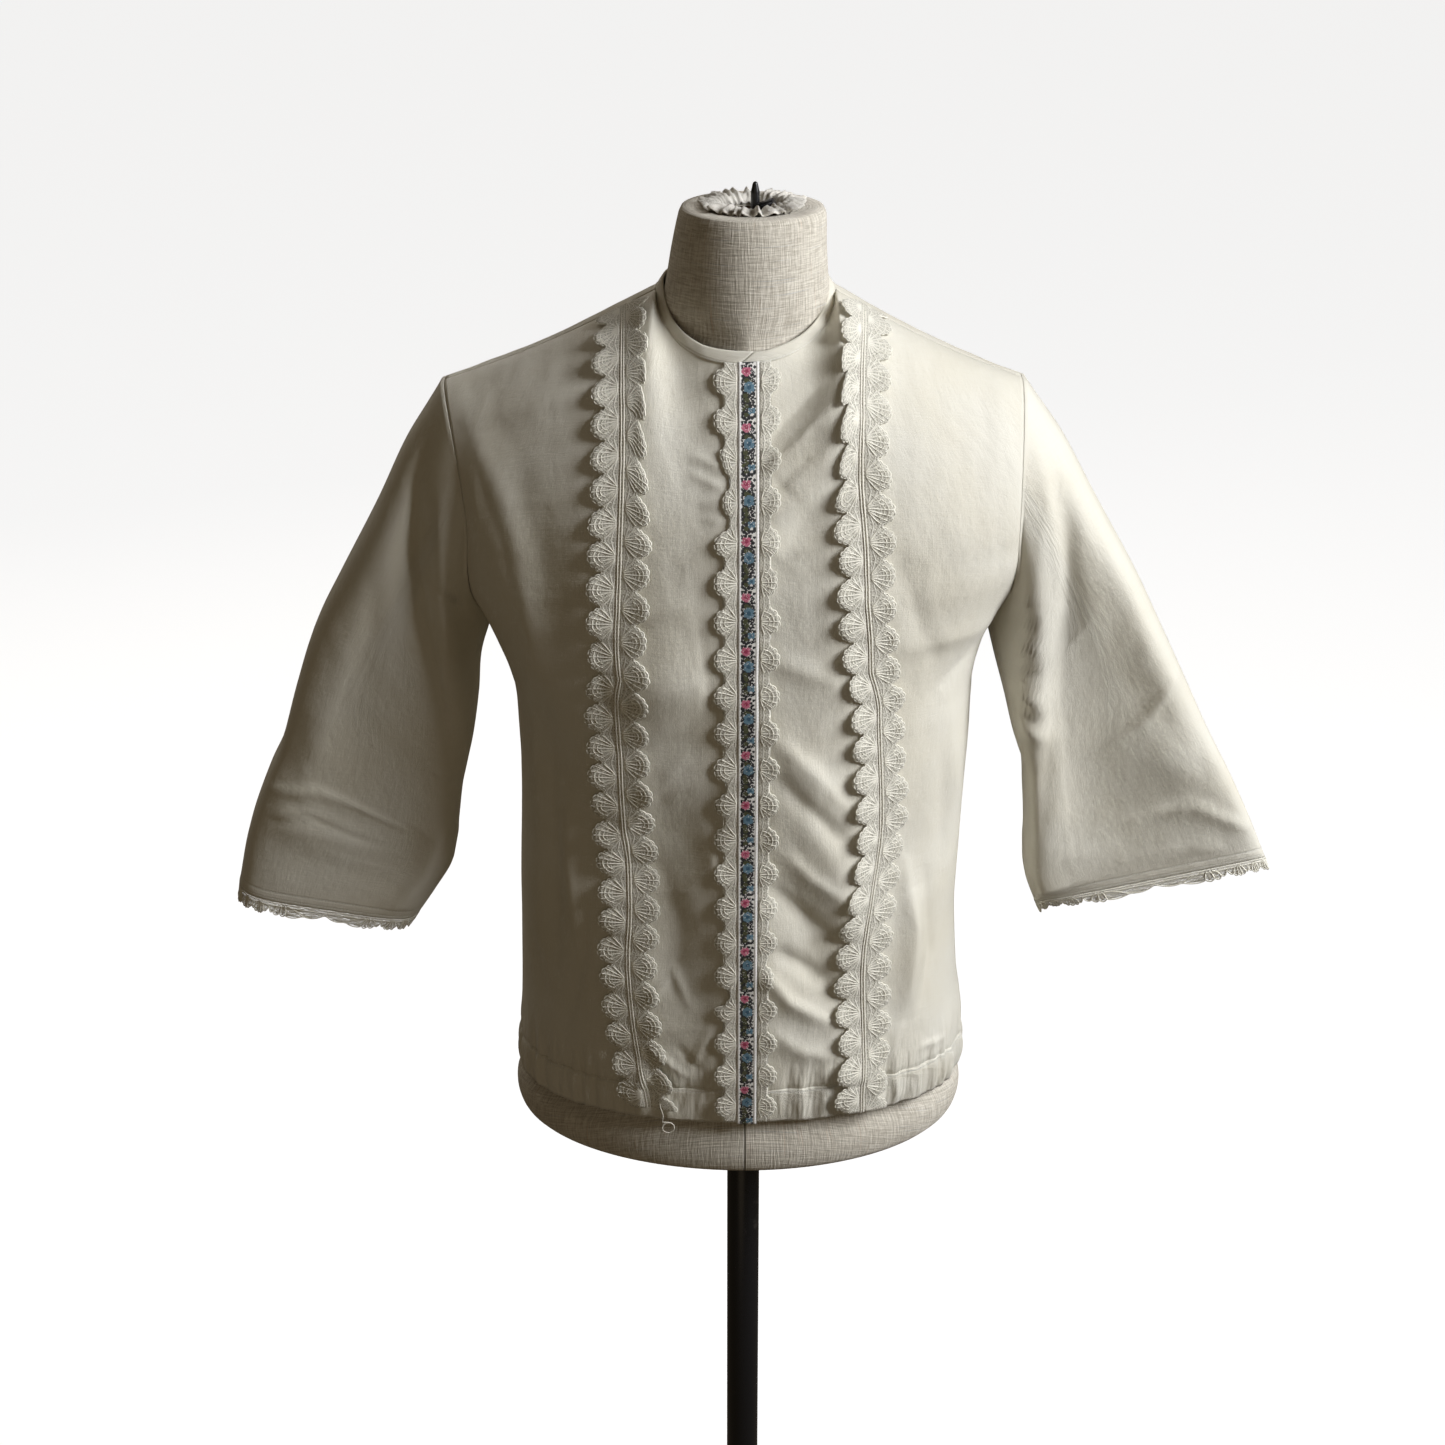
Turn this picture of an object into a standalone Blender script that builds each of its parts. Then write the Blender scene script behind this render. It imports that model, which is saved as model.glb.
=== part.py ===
# Lace blouse worn on a limbless dress form with a pole stand.
# X runs to the viewer's right, the front faces -Y and Z is up. The stand's underside is at z = 0.
# Sizes below are in millimetres. "left" and "right" in the tables are the viewer's, while the
# names of the cloth pieces follow the wearer, so front_right is on the viewer's left.
import math

import bmesh
import bpy
from mathutils import Vector

MM = 0.001
WALL = 1.5
LACE_WALL = 1.0
SEAM = 0.3
OPENING_GAP = 0.5
SIDE_GAP = 0.4
LIFT = 0.8

OPENING_X = -5.0
HEM_BOTTOM = 776.0
HEM_TOP = 802.0
HEM_RISE = 9.0
UNDERARM = 1118.0
YOKE = 1190.0
NECK_SHARE = 0.38
FLATNESS = 0.85
BACK_X = -3.0

# Half widths and depths of the blouse at each height, up to the underarm.
TORSO = {
    "z": (770, 800, 825, 853, 900, 940, 985, 1031, 1069, 1093, 1118),
    "left": (162, 162, 161, 160, 159, 158, 156, 155, 156, 161, 173),
    "right": (156, 158, 157, 153, 150, 150, 151, 155, 156, 157, 164),
    "front": (115, 116, 118, 119, 119, 118, 117, 117, 117, 117, 116),
    "back": (111, 111, 110, 109, 107, 105, 103, 103, 104, 106, 108),
}
# The armhole edge above the underarm. turn is how far the section has turned there, in degrees.
ARMHOLE = {
    "z": (1118, 1130, 1148, 1170, 1190),
    "left": (173, 178, 183, 184, 183),
    "right": (164, 170, 176, 179, 179),
    "front": (0, 18, 36, 48, 54),
    "back": (0, 18, 38, 53, 61),
    "deep_front": (116, 115, 114, 112, 109),
    "deep_back": (108, 109, 109, 109, 108),
    "turn": (90, 83, 72, 63, 58),
}
NECK = {"side_left": -59, "side_right": 58, "side_y": 2, "side_z": 1345,
        "front_y": -60, "front_z": 1316, "back_y": 56, "back_z": 1349}
SHOULDER_TIP = {-1: Vector((-199, 3, 1284)), 1: Vector((182, 3, 1286))}
SHOULDER_DIP = 4.0

# Largest soft folds of the fronts: start and end (x, z), half width, and depth (minus is a trough).
FOLDS = {
    -1: [
        ((-176, 1262), (-150, 1160), 16, 5.0),
        ((-150, 1160), (-108, 1060), 18, 5.0),
        ((-138, 1225), (-120, 1110), 20, -4.0),
        ((-112, 1000), (-112, 880), 16, 4.0),
        ((-50, 960), (-36, 860), 24, -5.0),
    ],
    1: [
        ((24, 1240), (70, 1290), 14, 3.5),
        ((22, 1200), (74, 1262), 15, -3.5),
        ((30, 1060), (76, 930), 18, 4.0),
        ((26, 980), (70, 860), 18, -4.0),
        ((118, 950), (116, 850), 14, 4.0),
    ],
}

# Each sleeve from armhole to cuff: outer edge, inner edge, and how far it bellies front and back.
SLEEVE = {
    -1: {
        "s": (0, 0.12, 0.25, 0.4, 0.5, 0.6, 0.73, 0.8, 0.9, 1),
        "outer_x": (-199, -225, -248, -276, -294, -307, -322, -334, -348, -357),
        "outer_z": (1284, 1246, 1200, 1148, 1113, 1076, 1028, 1003, 966, 928),
        "inner_x": (-173, -181, -184, -189, -194, -199, -203, -205, -216, -229),
        "inner_z": (1118, 1092, 1063, 1031, 1009, 987, 958, 943, 925, 906),
        "front": (58, 53, 49, 45, 43, 42, 42, 42, 43, 44),
        "back": (62, 55, 48, 42, 40, 38, 37, 36, 36, 36),
        "dip": (0, 0, 0, 0, 0, 1, 3, 4, 5, 6),
    },
    1: {
        "s": (0, 0.12, 0.25, 0.4, 0.5, 0.6, 0.73, 0.8, 0.9, 1),
        "outer_x": (182, 210, 236, 266, 284, 301, 323, 336, 354, 369),
        "outer_z": (1286, 1249, 1203, 1150, 1114, 1079, 1033, 1008, 970, 935),
        "inner_x": (164, 171, 179, 187, 194, 196, 198, 198, 200, 208),
        "inner_z": (1118, 1091, 1063, 1032, 1011, 989, 961, 945, 922, 899),
        "front": (58, 51, 43, 36, 33, 30, 28, 26, 24, 22),
        "back": (62, 52, 43, 35, 31, 28, 26, 25, 24, 24),
        "dip": (0, 0, 0, 0, 0, -1, -2, -4, -6, -8),
    },
}
# Folds of the sleeves: start and end (x, z) on the front, half width, depth.
SLEEVE_FOLDS = {
    -1: [((-212, 1235), (-222, 1140), 13, -6.0), ((-222, 1140), (-206, 1045), 14, -6.0),
         ((-330, 985), (-262, 962), 15, 4.0), ((-262, 930), (-222, 968), 12, -4.0)],
    1: [((196, 1240), (232, 1010), 12, 4.0), ((205, 1120), (218, 1010), 13, -4.0),
        ((262, 1060), (310, 1000), 16, 3.5)],
}

HEM_GATHERS = 44
GATHER_DEPTH = 2.4
BAND = {"height": 7.5, "wall": 1.8, "lean": 1.0, "slant": 9.0}

# Middle line of each ruffled strip, from the hem up.
STRIP = {
    -1: {"z": (770, 805, 826, 860, 904, 950, 1014, 1078, 1165, 1247, 1300, 1350),
         "x": (-64, -67, -72, -77, -80, -78, -80, -81, -82, -79, -79, -80), "end": 11},
    1: {"z": (770, 805, 833, 906, 952, 980, 1009, 1093, 1120, 1156, 1200, 1238, 1300, 1350),
        "x": (80, 80, 82, 80, 84, 88, 90, 86, 82, 78, 76, 73, 73, 78), "end": 4},
}
STRIP_HALF = 20.5
STRIP_NOTCH = 14.5
STRIP_RUFFLE = 6.0
STRIP_SCALLOPS = 27
CENTRE_SCALLOPS = 21
CENTRE_LACE = {-1: {"inner": -6.0, "notch": -15.5, "tip": -20.8},
               1: {"inner": 11.0, "notch": 16.5, "tip": 21.0}}
RIBBON = {"left": -4.2, "right": 10.0, "wall": 1.0}
CUFF_SCALLOPS = 20
CUFF_LACE = {"notch": 5.5, "tip": 10.5}

# The form: half widths and depths at each height.
FORM = {
    "z": (739, 742, 748, 757, 766, 776, 802, 850, 900, 960, 1020, 1080, 1120, 1180, 1230,
          1265, 1290, 1310, 1325, 1342, 1375, 1396, 1400),
    "left": (152, 161, 165, 166.5, 165, 157.5, 153, 146, 134, 122, 128, 142, 148, 154, 156,
             142, 112, 81, 60, 53, 48, 44, 40),
    "right": (144, 153, 157, 158.5, 157, 151.5, 148, 142, 128, 118, 126, 140, 144, 150, 150,
              134, 106, 79, 59, 53.5, 52, 51.5, 47.5),
    "front": (103, 110, 112.5, 113, 112, 109, 105, 100, 92, 86, 92, 104, 107, 96, 82,
              72, 63, 56, 53.5, 52.5, 50, 47.5, 43.5),
    "back": (101, 107, 109.5, 110, 109, 106, 102, 98, 92, 84, 86, 92, 96, 98, 94,
             82, 68, 55, 52, 51, 49, 46.5, 42.5),
    "round": (2, 2, 2, 2, 2, 2, 2, 2, 2, 2, 2, 2, 2, 2, 1.9,
              1.7, 1.5, 1.42, 1.5, 1.85, 2, 2, 2),
}
FORM_SIDES = 26
NECK_CENTRE = 3.5
RECESS = {"rim": 22.0, "radius": 18.0, "floor": 1389.0}
SOCKET_DEPTH = 40.0

POLE_RADIUS = 12.0
BASE = {"radius": 190.0, "edge": 12.0, "crown": 20.0, "hub": 24.0, "hub_top": 52.0, "socket": 27.0}
FINIAL = {"foot": 8.0, "stem": 2.9, "tip": 1416.0}


def smooth_value(heights, values, at):
    """A curve through the rows of a table, kept straight past its ends."""
    last = len(heights) - 1
    if at <= heights[0]:
        return values[0] + (values[1] - values[0]) * (at - heights[0]) / (heights[1] - heights[0])
    if at >= heights[last]:
        return values[last]
    i = max(k for k in range(last) if heights[k] <= at)
    slopes = []
    for k in (i, i + 1):
        low, high = max(k - 1, 0), min(k + 1, last)
        slopes.append((values[high] - values[low]) / (heights[high] - heights[low]))
    step = heights[i + 1] - heights[i]
    t = (at - heights[i]) / step
    a, b, c, d = hermite_weights(t)
    return a * values[i] + b * step * slopes[0] + c * values[i + 1] + d * step * slopes[1]


def hermite_weights(t):
    return (2 * t**3 - 3 * t**2 + 1, t**3 - 2 * t**2 + t, -2 * t**3 + 3 * t**2, t**3 - t**2)


def look_up(table, column, at, key="z"):
    return smooth_value(table[key], table[column], at)


def ease(low, high, at):
    t = min(max((at - low) / (high - low), 0.0), 1.0)
    return t * t * (3 - 2 * t)


def side_name(side):
    return "left" if side < 0 else "right"


def section(side, face, u, z):
    """The torso at height z, with u from the centre line (0) to the panel's outer edge (1)."""
    out = -1 if face == "front" else 1
    if z <= UNDERARM:
        edge_x = look_up(TORSO, side_name(side), z)
        edge_y = 0.0
        deep = look_up(TORSO, face, z)
        turn = math.pi / 2
    else:
        edge_x = look_up(ARMHOLE, side_name(side), z)
        edge_y = look_up(ARMHOLE, face, z)
        deep = look_up(ARMHOLE, "deep_" + face, z)
        turn = math.radians(look_up(ARMHOLE, "turn", z))
    middle = OPENING_X if face == "front" else BACK_X
    edge_x = side * edge_x
    across = math.sin(u * turn) / math.sin(turn)
    fall = max((math.cos(u * turn) - math.cos(turn)) / (1 - math.cos(turn)), 0.0) ** FLATNESS
    return Vector((middle + (edge_x - middle) * across,
                   out * (edge_y + SIDE_GAP / 2 + (deep - edge_y) * fall), z))


def top_line(side, face, u):
    """The neckline, then the shoulder seam out to its tip."""
    out = -1 if face == "front" else 1
    middle = OPENING_X if face == "front" else BACK_X
    neck_x = NECK["side_left"] if side < 0 else NECK["side_right"]
    seam = out * SIDE_GAP / 2
    if u <= NECK_SHARE:
        angle = math.pi / 2 * u / NECK_SHARE
        rise = (1 - math.cos(angle)) ** 1.2
        return Vector((middle + (neck_x - middle) * math.sin(angle),
                       NECK["side_y"] + (NECK[face + "_y"] - NECK["side_y"]) * math.cos(angle) + seam,
                       NECK[face + "_z"] + (NECK["side_z"] - NECK[face + "_z"]) * rise))
    t = (u - NECK_SHARE) / (1 - NECK_SHARE)
    start = Vector((neck_x, NECK["side_y"], NECK["side_z"]))
    point = start.lerp(SHOULDER_TIP[side], t)
    point.z -= SHOULDER_DIP * math.sin(math.pi * t)
    point.y += seam
    return point


def arriving(face, u):
    """The way the cloth runs as it reaches the neckline or the shoulder seam."""
    out = -1 if face == "front" else 1
    rise = 2.0 * (1 - ease(0, NECK_SHARE * 1.05, u)) - 0.14
    return Vector((0, -out, rise)).normalized()


def torso(side, face, u, v):
    """The blouse's outer surface: v 0 to 1 from hem seam to yoke, 1 to 2 on to the top line."""
    if v <= 1:
        rise = HEM_RISE * (1 - u * u) * (1 - ease(0, 0.5, v)) if face == "front" else 0.0
        return section(side, face, u, HEM_TOP + (YOKE - HEM_TOP) * v + rise)
    low = section(side, face, u, YOKE)
    leaving = (low - section(side, face, u, YOKE - 4)).normalized()
    high = top_line(side, face, u)
    length = (high - low).length
    a, b, c, d = hermite_weights(v - 1)
    return a * low + b * length * leaving + c * high + d * length * arriving(face, u)


def v_of(z):
    return (z - HEM_TOP) / (YOKE - HEM_TOP)


def outward(side, face, u, v):
    e = 0.01
    u = min(max(u, e), 1 - e)
    v = min(v, 2 - e)
    along = torso(side, face, u + e, v) - torso(side, face, u - e, v)
    up = torso(side, face, u, v + e) - torso(side, face, u, v - e)
    normal = along.cross(up).normalized()
    flips = side * (1 if face == "front" else -1)
    return normal if flips > 0 else -normal


def fold_height(folds, x, z):
    """How far soft folds push a point out of the cloth."""
    total = 0.0
    for (x0, z0), (x1, z1), half, depth in folds:
        run = Vector((x1 - x0, z1 - z0))
        t = min(max((Vector((x - x0, z - z0)).dot(run)) / run.length_squared, -0.25), 1.25)
        away = Vector((x - x0, z - z0)) - run * t
        fade = 1 - ease(0.25, 0.75, abs(t - 0.5))
        total += depth * fade * math.exp(-(away.length / half) ** 2)
    return total


U_STEPS = ([NECK_SHARE * i / 5 for i in range(5)]
           + [NECK_SHARE + (1 - NECK_SHARE) * i / 7 for i in range(8)])
BACK_STEPS = ([NECK_SHARE * i / 4 for i in range(4)]
              + [NECK_SHARE + (1 - NECK_SHARE) * i / 5 for i in range(6)])
LOW_ROWS = [v_of(HEM_TOP + (UNDERARM - HEM_TOP) * j / 8) for j in range(8)]
ARM_ROWS = [v_of(z) for z in (1118, 1130, 1144, 1160, 1175)]
TOP_ROWS = [1, 1.2, 1.4, 1.6, 1.78, 1.93, 2]
V_STEPS = LOW_ROWS + ARM_ROWS + TOP_ROWS
UNDERARM_ROW = len(LOW_ROWS)


def front_grid(side):
    """Grid points of one front, row by row, with its folds. Its edges keep to the seams."""
    rows = []
    for v in V_STEPS:
        row = []
        for u in U_STEPS:
            point = torso(side, "front", u, v)
            hold = ease(0, 0.12, u) * (1 - ease(0.9, 1, u)) * ease(0, 0.08, v) * (1 - ease(1.8, 2, v))
            push = hold * fold_height(FOLDS[side], point.x, point.z)
            if u == 0:
                point.x += side * OPENING_GAP / 2
            row.append(point + outward(side, "front", u, v) * push)
        rows.append(row)
    return rows


def back_grid():
    rows = []
    for v in V_STEPS:
        left = [torso(-1, "back", u, v) for u in reversed(BACK_STEPS)]
        right = [torso(1, "back", u, v) for u in BACK_STEPS[1:]]
        rows.append(left + right)
    return rows


FRONT = {side: front_grid(side) for side in (-1, 1)}


def step_of(steps, at):
    i = max(k for k in range(len(steps) - 1) if steps[k] <= at or k == 0)
    return i, (at - steps[i]) / (steps[i + 1] - steps[i])


def on_front(side, u, v):
    """A point on the front's own facets. Below the hem seam it keeps to the smooth torso."""
    if v < 0:
        return torso(side, "front", u, v)
    i, s = step_of(U_STEPS, u)
    j, t = step_of(V_STEPS, v)
    rows = FRONT[side]
    low = rows[j][i].lerp(rows[j][i + 1], s)
    high = rows[j + 1][i].lerp(rows[j + 1][i + 1], s)
    return low.lerp(high, t)


def u_at(side, v, x):
    """Where on the row v the front reaches x."""
    low, high = 0.0, 1.0
    for _ in range(24):
        middle = (low + high) / 2
        if side * torso(side, "front", middle, v).x < side * x:
            low = middle
        else:
            high = middle
    return (low + high) / 2


def laid(side, u, v, across, lift, top=1.88):
    """A point a little off the front: across is how far to the side along the cloth.

    Near the neckline the rows are drawn down so that they end at top, clear of the neckband."""
    e = 0.01
    clear = ease(NECK_SHARE, NECK_SHARE + 0.1, u + side * across / 230)
    limit = top + (1.985 - top) * clear
    lift += (1.98 - top) * 30 * (1 - clear) * ease(1.7, 1.9, v)
    if v > 1.5:
        v = 1.5 + (v - 1.5) * (limit - 1.5) / 0.485
    u0 = min(max(u, e), 1 - e)
    width = (torso(side, "front", u0 + e, v) - torso(side, "front", u0 - e, v)).length / (2 * e)
    u = min(max(u + side * across / width, 0.0), 1.0)
    return on_front(side, u, v) + outward(side, "front", u, v) * (LIFT + lift)


def over_hem(v):
    """Extra lift of what crosses the gathered hem."""
    return (GATHER_DEPTH + 1.2) * (1 - ease(v_of(802), v_of(832), v))


COLLECTION = bpy.data.collections.new("lace_blouse_on_dress_form")


def clear_scene():
    for item in list(bpy.data.objects):
        bpy.data.objects.remove(item)
    bpy.context.scene.collection.children.link(COLLECTION)


def paint(name, colour, roughness=0.8, metallic=0.0):
    material = bpy.data.materials.new(name)
    material.use_nodes = True
    shader = material.node_tree.nodes["Principled BSDF"]
    shader.inputs["Base Color"].default_value = (*colour, 1)
    shader.inputs["Roughness"].default_value = roughness
    shader.inputs["Metallic"].default_value = metallic
    return material


def keep(name, mesh, material):
    data = bpy.data.meshes.new(name)
    mesh.to_mesh(data)
    mesh.free()
    item = bpy.data.objects.new(name, data)
    item.data.materials.append(material)
    COLLECTION.objects.link(item)
    return item


def sheet(name, columns, rows, place, material, thickness=WALL, outwards=False, flip=False,
          joined=False):
    """A grid moved to place(column, row) and thickened inwards, or outwards for what lies on top."""
    mesh = bmesh.new()
    bmesh.ops.create_grid(mesh, x_segments=columns, y_segments=rows, size=1.0)
    for vert in mesh.verts:
        i = round((vert.co.x + 1) / 2 * columns)
        j = round((vert.co.y + 1) / 2 * rows)
        vert.co = place(i % columns if joined else i, j) * MM
    if joined:
        bmesh.ops.remove_doubles(mesh, verts=mesh.verts, dist=1e-7)
    if flip:
        bmesh.ops.reverse_faces(mesh, faces=mesh.faces)
    item = keep(name, mesh, material)
    wall = item.modifiers.new("Wall", "SOLIDIFY")
    wall.thickness = thickness * MM
    wall.offset = 1.0 if outwards else -1.0
    return item


def build_fronts(cotton):
    for side, name in ((-1, "front_right"), (1, "front_left")):
        rows = FRONT[side]
        sheet(name, len(U_STEPS) - 1, len(V_STEPS) - 1, lambda i, j: rows[j][i], cotton[name],
              flip=side < 0)


def build_back(cotton):
    rows = back_grid()
    sheet("back", len(rows[0]) - 1, len(V_STEPS) - 1, lambda i, j: rows[j][i], cotton["back"], flip=True)


def armhole_loop(side, u=1.0):
    """Points round the armhole, from the shoulder tip down the front and up the back."""
    steps = V_STEPS[UNDERARM_ROW:]
    front = [torso(side, "front", u, v) for v in reversed(steps)]
    back = [torso(side, "back", u, v) for v in steps]
    tip = (front[0] + back[-1]) / 2
    under = (front[-1] + back[0]) / 2
    return [tip] + front[1:-1] + [under] + back[1:-1]


def sleeve_ring(side, s, turn):
    """The sleeve's own oval at s, with turn 0 at the outer edge and half a turn at the inner."""
    table = SLEEVE[side]
    values = {key: look_up(table, key, s, "s") for key in table if key != "s"}
    outer = Vector((values["outer_x"], 0, values["outer_z"]))
    inner = Vector((values["inner_x"], 0, values["inner_z"]))
    belly = math.sin(turn)
    depth = -values["front"] * belly if belly > 0 else -values["back"] * belly
    point = (outer + inner) / 2 + (outer - inner) / 2 * math.cos(turn)
    point.y = depth
    point.z -= values["dip"] * max(belly, 0)
    return point


def sleeve_turns(loop):
    """Where each armhole point sits on the sleeve's oval, by its height."""
    top, bottom = loop[0].z, min(point.z for point in loop)
    half = len(loop) // 2
    turns = []
    for k, point in enumerate(loop):
        lean = (point.z - (top + bottom) / 2) / ((top - bottom) / 2)
        angle = math.acos(min(max(lean, -1), 1))
        turns.append(angle if k <= half else 2 * math.pi - angle)
    return turns


SLEEVE_HEAD = 3.0
SLEEVE_ROWS = [0, 0.025, 0.09, 0.17, 0.26, 0.35, 0.45, 0.55, 0.65, 0.75, 0.84, 0.92, 1]


def sleeve_grid(side):
    loop = armhole_loop(side)
    turns = sleeve_turns(loop)
    even = [2 * math.pi * k / len(loop) for k in range(len(loop))]
    before = armhole_loop(side, 0.95)
    start = Vector((side * SEAM, 0, -0.3 * SEAM))
    rows = []
    for s in SLEEVE_ROWS:
        row = []
        for k, corner in enumerate(loop):
            shift = corner + start - sleeve_ring(side, 0, turns[k])
            spread = ease(0, 0.6, s)
            turn = turns[k] * (1 - spread) + even[k] * spread
            point = sleeve_ring(side, s, turn) + shift * (1 - ease(0, 0.35, s))
            if math.sin(turn) > 0:
                hold = ease(0, 0.1, s) * (1 - ease(0.93, 1, s)) * math.sin(turn)
                push = hold * fold_height(SLEEVE_FOLDS[side], point.x, point.z)
                point.y -= push
            if s in SLEEVE_ROWS[:2]:
                # The sleeve's head leaves the armhole in line with the panels, then bends down.
                ahead = (corner - before[k]).normalized() * (SEAM if s == 0 else SLEEVE_HEAD)
                point = point.lerp(corner + ahead, ease(1150, 1200, corner.z))
            row.append(point)
        rows.append(row)
    return rows


def build_sleeves(cotton, lace):
    for side, name in ((-1, "sleeve_right"), (1, "sleeve_left")):
        rows = sleeve_grid(side)
        around = len(rows[0])
        sheet(name, around, len(rows) - 1, lambda i, j: rows[j][i], cotton[name],
              flip=side < 0, joined=True)
        build_cuff_lace(side, rows, lace)


def build_cuff_lace(side, rows, lace):
    """A scalloped edging that carries on past the sleeve's last row."""
    name = "cuff_lace_right" if side < 0 else "cuff_lace_left"
    last, before = rows[-1], rows[-2]
    around = len(last)
    columns = 4 * CUFF_SCALLOPS
    centre = sum(last, Vector()) / around

    def place(i, j):
        at = i / columns * around
        k, t = int(at) % around, at - int(at)
        edge = last[k].lerp(last[(k + 1) % around], t)
        down = edge - before[k].lerp(before[(k + 1) % around], t)
        down.normalize()
        inward = (centre - edge).normalized() * 0.2
        swell = abs(math.sin(math.pi * (i % 4) / 4)) ** 0.6
        reach = CUFF_LACE["notch"] + (CUFF_LACE["tip"] - CUFF_LACE["notch"]) * swell
        return edge + inward + down * (SEAM + (reach if j == 0 else 0))

    sheet(name, columns, 1, place, lace, LACE_WALL, flip=side > 0, joined=True)


def girdle(t, v):
    """The blouse round its hem, from the opening past the viewer's left side, back and right."""
    quarter = 4 * t
    if quarter <= 1:
        return torso(-1, "front", quarter, v)
    if quarter <= 2:
        return torso(-1, "back", 2 - quarter, v)
    if quarter <= 3:
        return torso(1, "back", quarter - 2, v)
    return torso(1, "front", 4 - quarter, v)


def build_hem(cotton):
    """The gathered casing: flat at its seam, in soft waves below, calm beside the ribbon."""
    columns = 4 * HEM_GATHERS
    heights = [v_of(z) for z in (HEM_BOTTOM, 789, HEM_TOP - 1.4 * SEAM)]
    waves = (0.85, 1.0, 0.0)

    def place(i, j):
        t = i / columns
        point = girdle(t, heights[j])
        e = 0.002
        ahead = girdle(min(t + e, 1), heights[j]) - girdle(max(t - e, 0), heights[j])
        away = Vector((-ahead.y, ahead.x, 0)).normalized()
        calm = ease(20, 34, abs(point.x - 2)) if point.y < 0 else 1.0
        push = waves[j] * GATHER_DEPTH * calm * math.cos(2 * math.pi * (i % 4) / 4)
        if i in (0, columns):
            point.x = OPENING_X + (-SEAM / 2 if i == 0 else SEAM / 2)
        return point - away * push

    sheet("hem_casing", columns, len(heights) - 1, place, cotton["hem_casing"], flip=True)


def build_neckband(cotton):
    """A narrow band that stands up from the neckline, its ends cut on a slant at the opening."""
    neck = [u for u in U_STEPS if u <= NECK_SHARE + 1e-6]
    line = [top_line(-1, "front", u) for u in neck]
    line += [top_line(-1, "back", u) for u in reversed(neck[:-1])]
    line += [top_line(1, "back", u) for u in neck[1:]]
    line += [top_line(1, "front", u) for u in reversed(neck[:-1])]
    last = len(line) - 1
    middle = Vector((0, 0, 0))

    def place(i, j):
        point = line[i].copy()
        inward = middle - point
        inward.z = 0
        inward.normalize()
        point.z += SEAM + BAND["height"] * j
        point += inward * BAND["lean"] * j
        if i in (0, last):
            point.x += BAND["slant"] * j + (-SEAM / 2 if i == 0 else SEAM / 2)
        return point

    sheet("neckband", last, 1, place, cotton["neckband"], BAND["wall"], flip=True)


def path_rows(side, scallops, centre_x, low, high):
    """Rows spaced evenly along the cloth, as (v, u of the middle line)."""
    steps = 240
    samples = [low + (high - low) * k / steps for k in range(steps + 1)]
    points = []
    for v in samples:
        z = torso(side, "front", 0.5, v).z
        points.append((v, u_at(side, v, centre_x(z))))
    lengths = [0.0]
    for (v0, u0), (v1, u1) in zip(points, points[1:]):
        step = (torso(side, "front", u1, v1) - torso(side, "front", u0, v0)).length
        lengths.append(lengths[-1] + step)
    rows = []
    for j in range(4 * scallops + 1):
        want = lengths[-1] * j / (4 * scallops)
        k = max(n for n in range(steps) if lengths[n] <= want + 1e-9)
        t = (want - lengths[k]) / (lengths[k + 1] - lengths[k])
        rows.append((points[k][0] + (points[k + 1][0] - points[k][0]) * t,
                     points[k][1] + (points[k + 1][1] - points[k][1]) * t))
    return rows


def scallop(j, shift=0):
    return abs(math.sin(math.pi * ((j + shift) % 4) / 4)) ** 0.6


def build_side_laces(lace):
    """Ruffled strips, flat along their sewn middle and waved and scalloped at both edges."""
    for side, name in ((-1, "side_lace_right"), (1, "side_lace_left")):
        path = STRIP[side]
        rows = path_rows(side, STRIP_SCALLOPS, lambda z: look_up(path, "x", z),
                         v_of(HEM_BOTTOM + path["end"]), 1.985)

        def place(i, j):
            v, u = rows[j]
            out = (-1, -0.5, 0, 0.5, 1)[i]
            swell = scallop(j, 0 if out < 0 else 2)
            reach = STRIP_NOTCH + (STRIP_HALF - STRIP_NOTCH) * swell
            wave = 0.5 - 0.5 * math.cos(math.pi * (j + (0 if out < 0 else 2)) / 4)
            ends = min(1.0, (len(rows) - 1 - j) / 6)
            lift = abs(out) ** 1.5 * STRIP_RUFFLE * (0.25 + 0.75 * wave) * ends
            return laid(side, u, v, out * reach, lift + over_hem(v))

        sheet(name, 4, len(rows) - 1, place, lace, LACE_WALL, outwards=True)


def build_centre_laces(lace):
    for side, name in ((-1, "centre_lace_right"), (1, "centre_lace_left")):
        size = CENTRE_LACE[side]
        rows = path_rows(side, CENTRE_SCALLOPS, lambda z: size["inner"], v_of(HEM_BOTTOM + 2), 1.98)

        def place(i, j):
            v, u = rows[j]
            x = size["inner"]
            if i == (0 if side < 0 else 1):
                x = size["notch"] + (size["tip"] - size["notch"]) * scallop(j)
            return laid(side, u_at(side, v, x), v, 0, over_hem(v) * 0.3 + 0.4, 1.98)

        sheet(name, 1, len(rows) - 1, place, lace, LACE_WALL, outwards=True)


def build_ribbon(woven):
    rows = path_rows(1, 6, lambda z: 3.0, v_of(HEM_BOTTOM + 0.5), 1.985)

    def place(i, j):
        v, _ = rows[j]
        x = RIBBON["left"] + (RIBBON["right"] - RIBBON["left"]) * i / 2
        return laid(1, u_at(1, v, x), v, 0, over_hem(v) * 0.3, 1.98)

    sheet("ribbon", 2, len(rows) - 1, place, woven, RIBBON["wall"], outwards=True)


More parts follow.
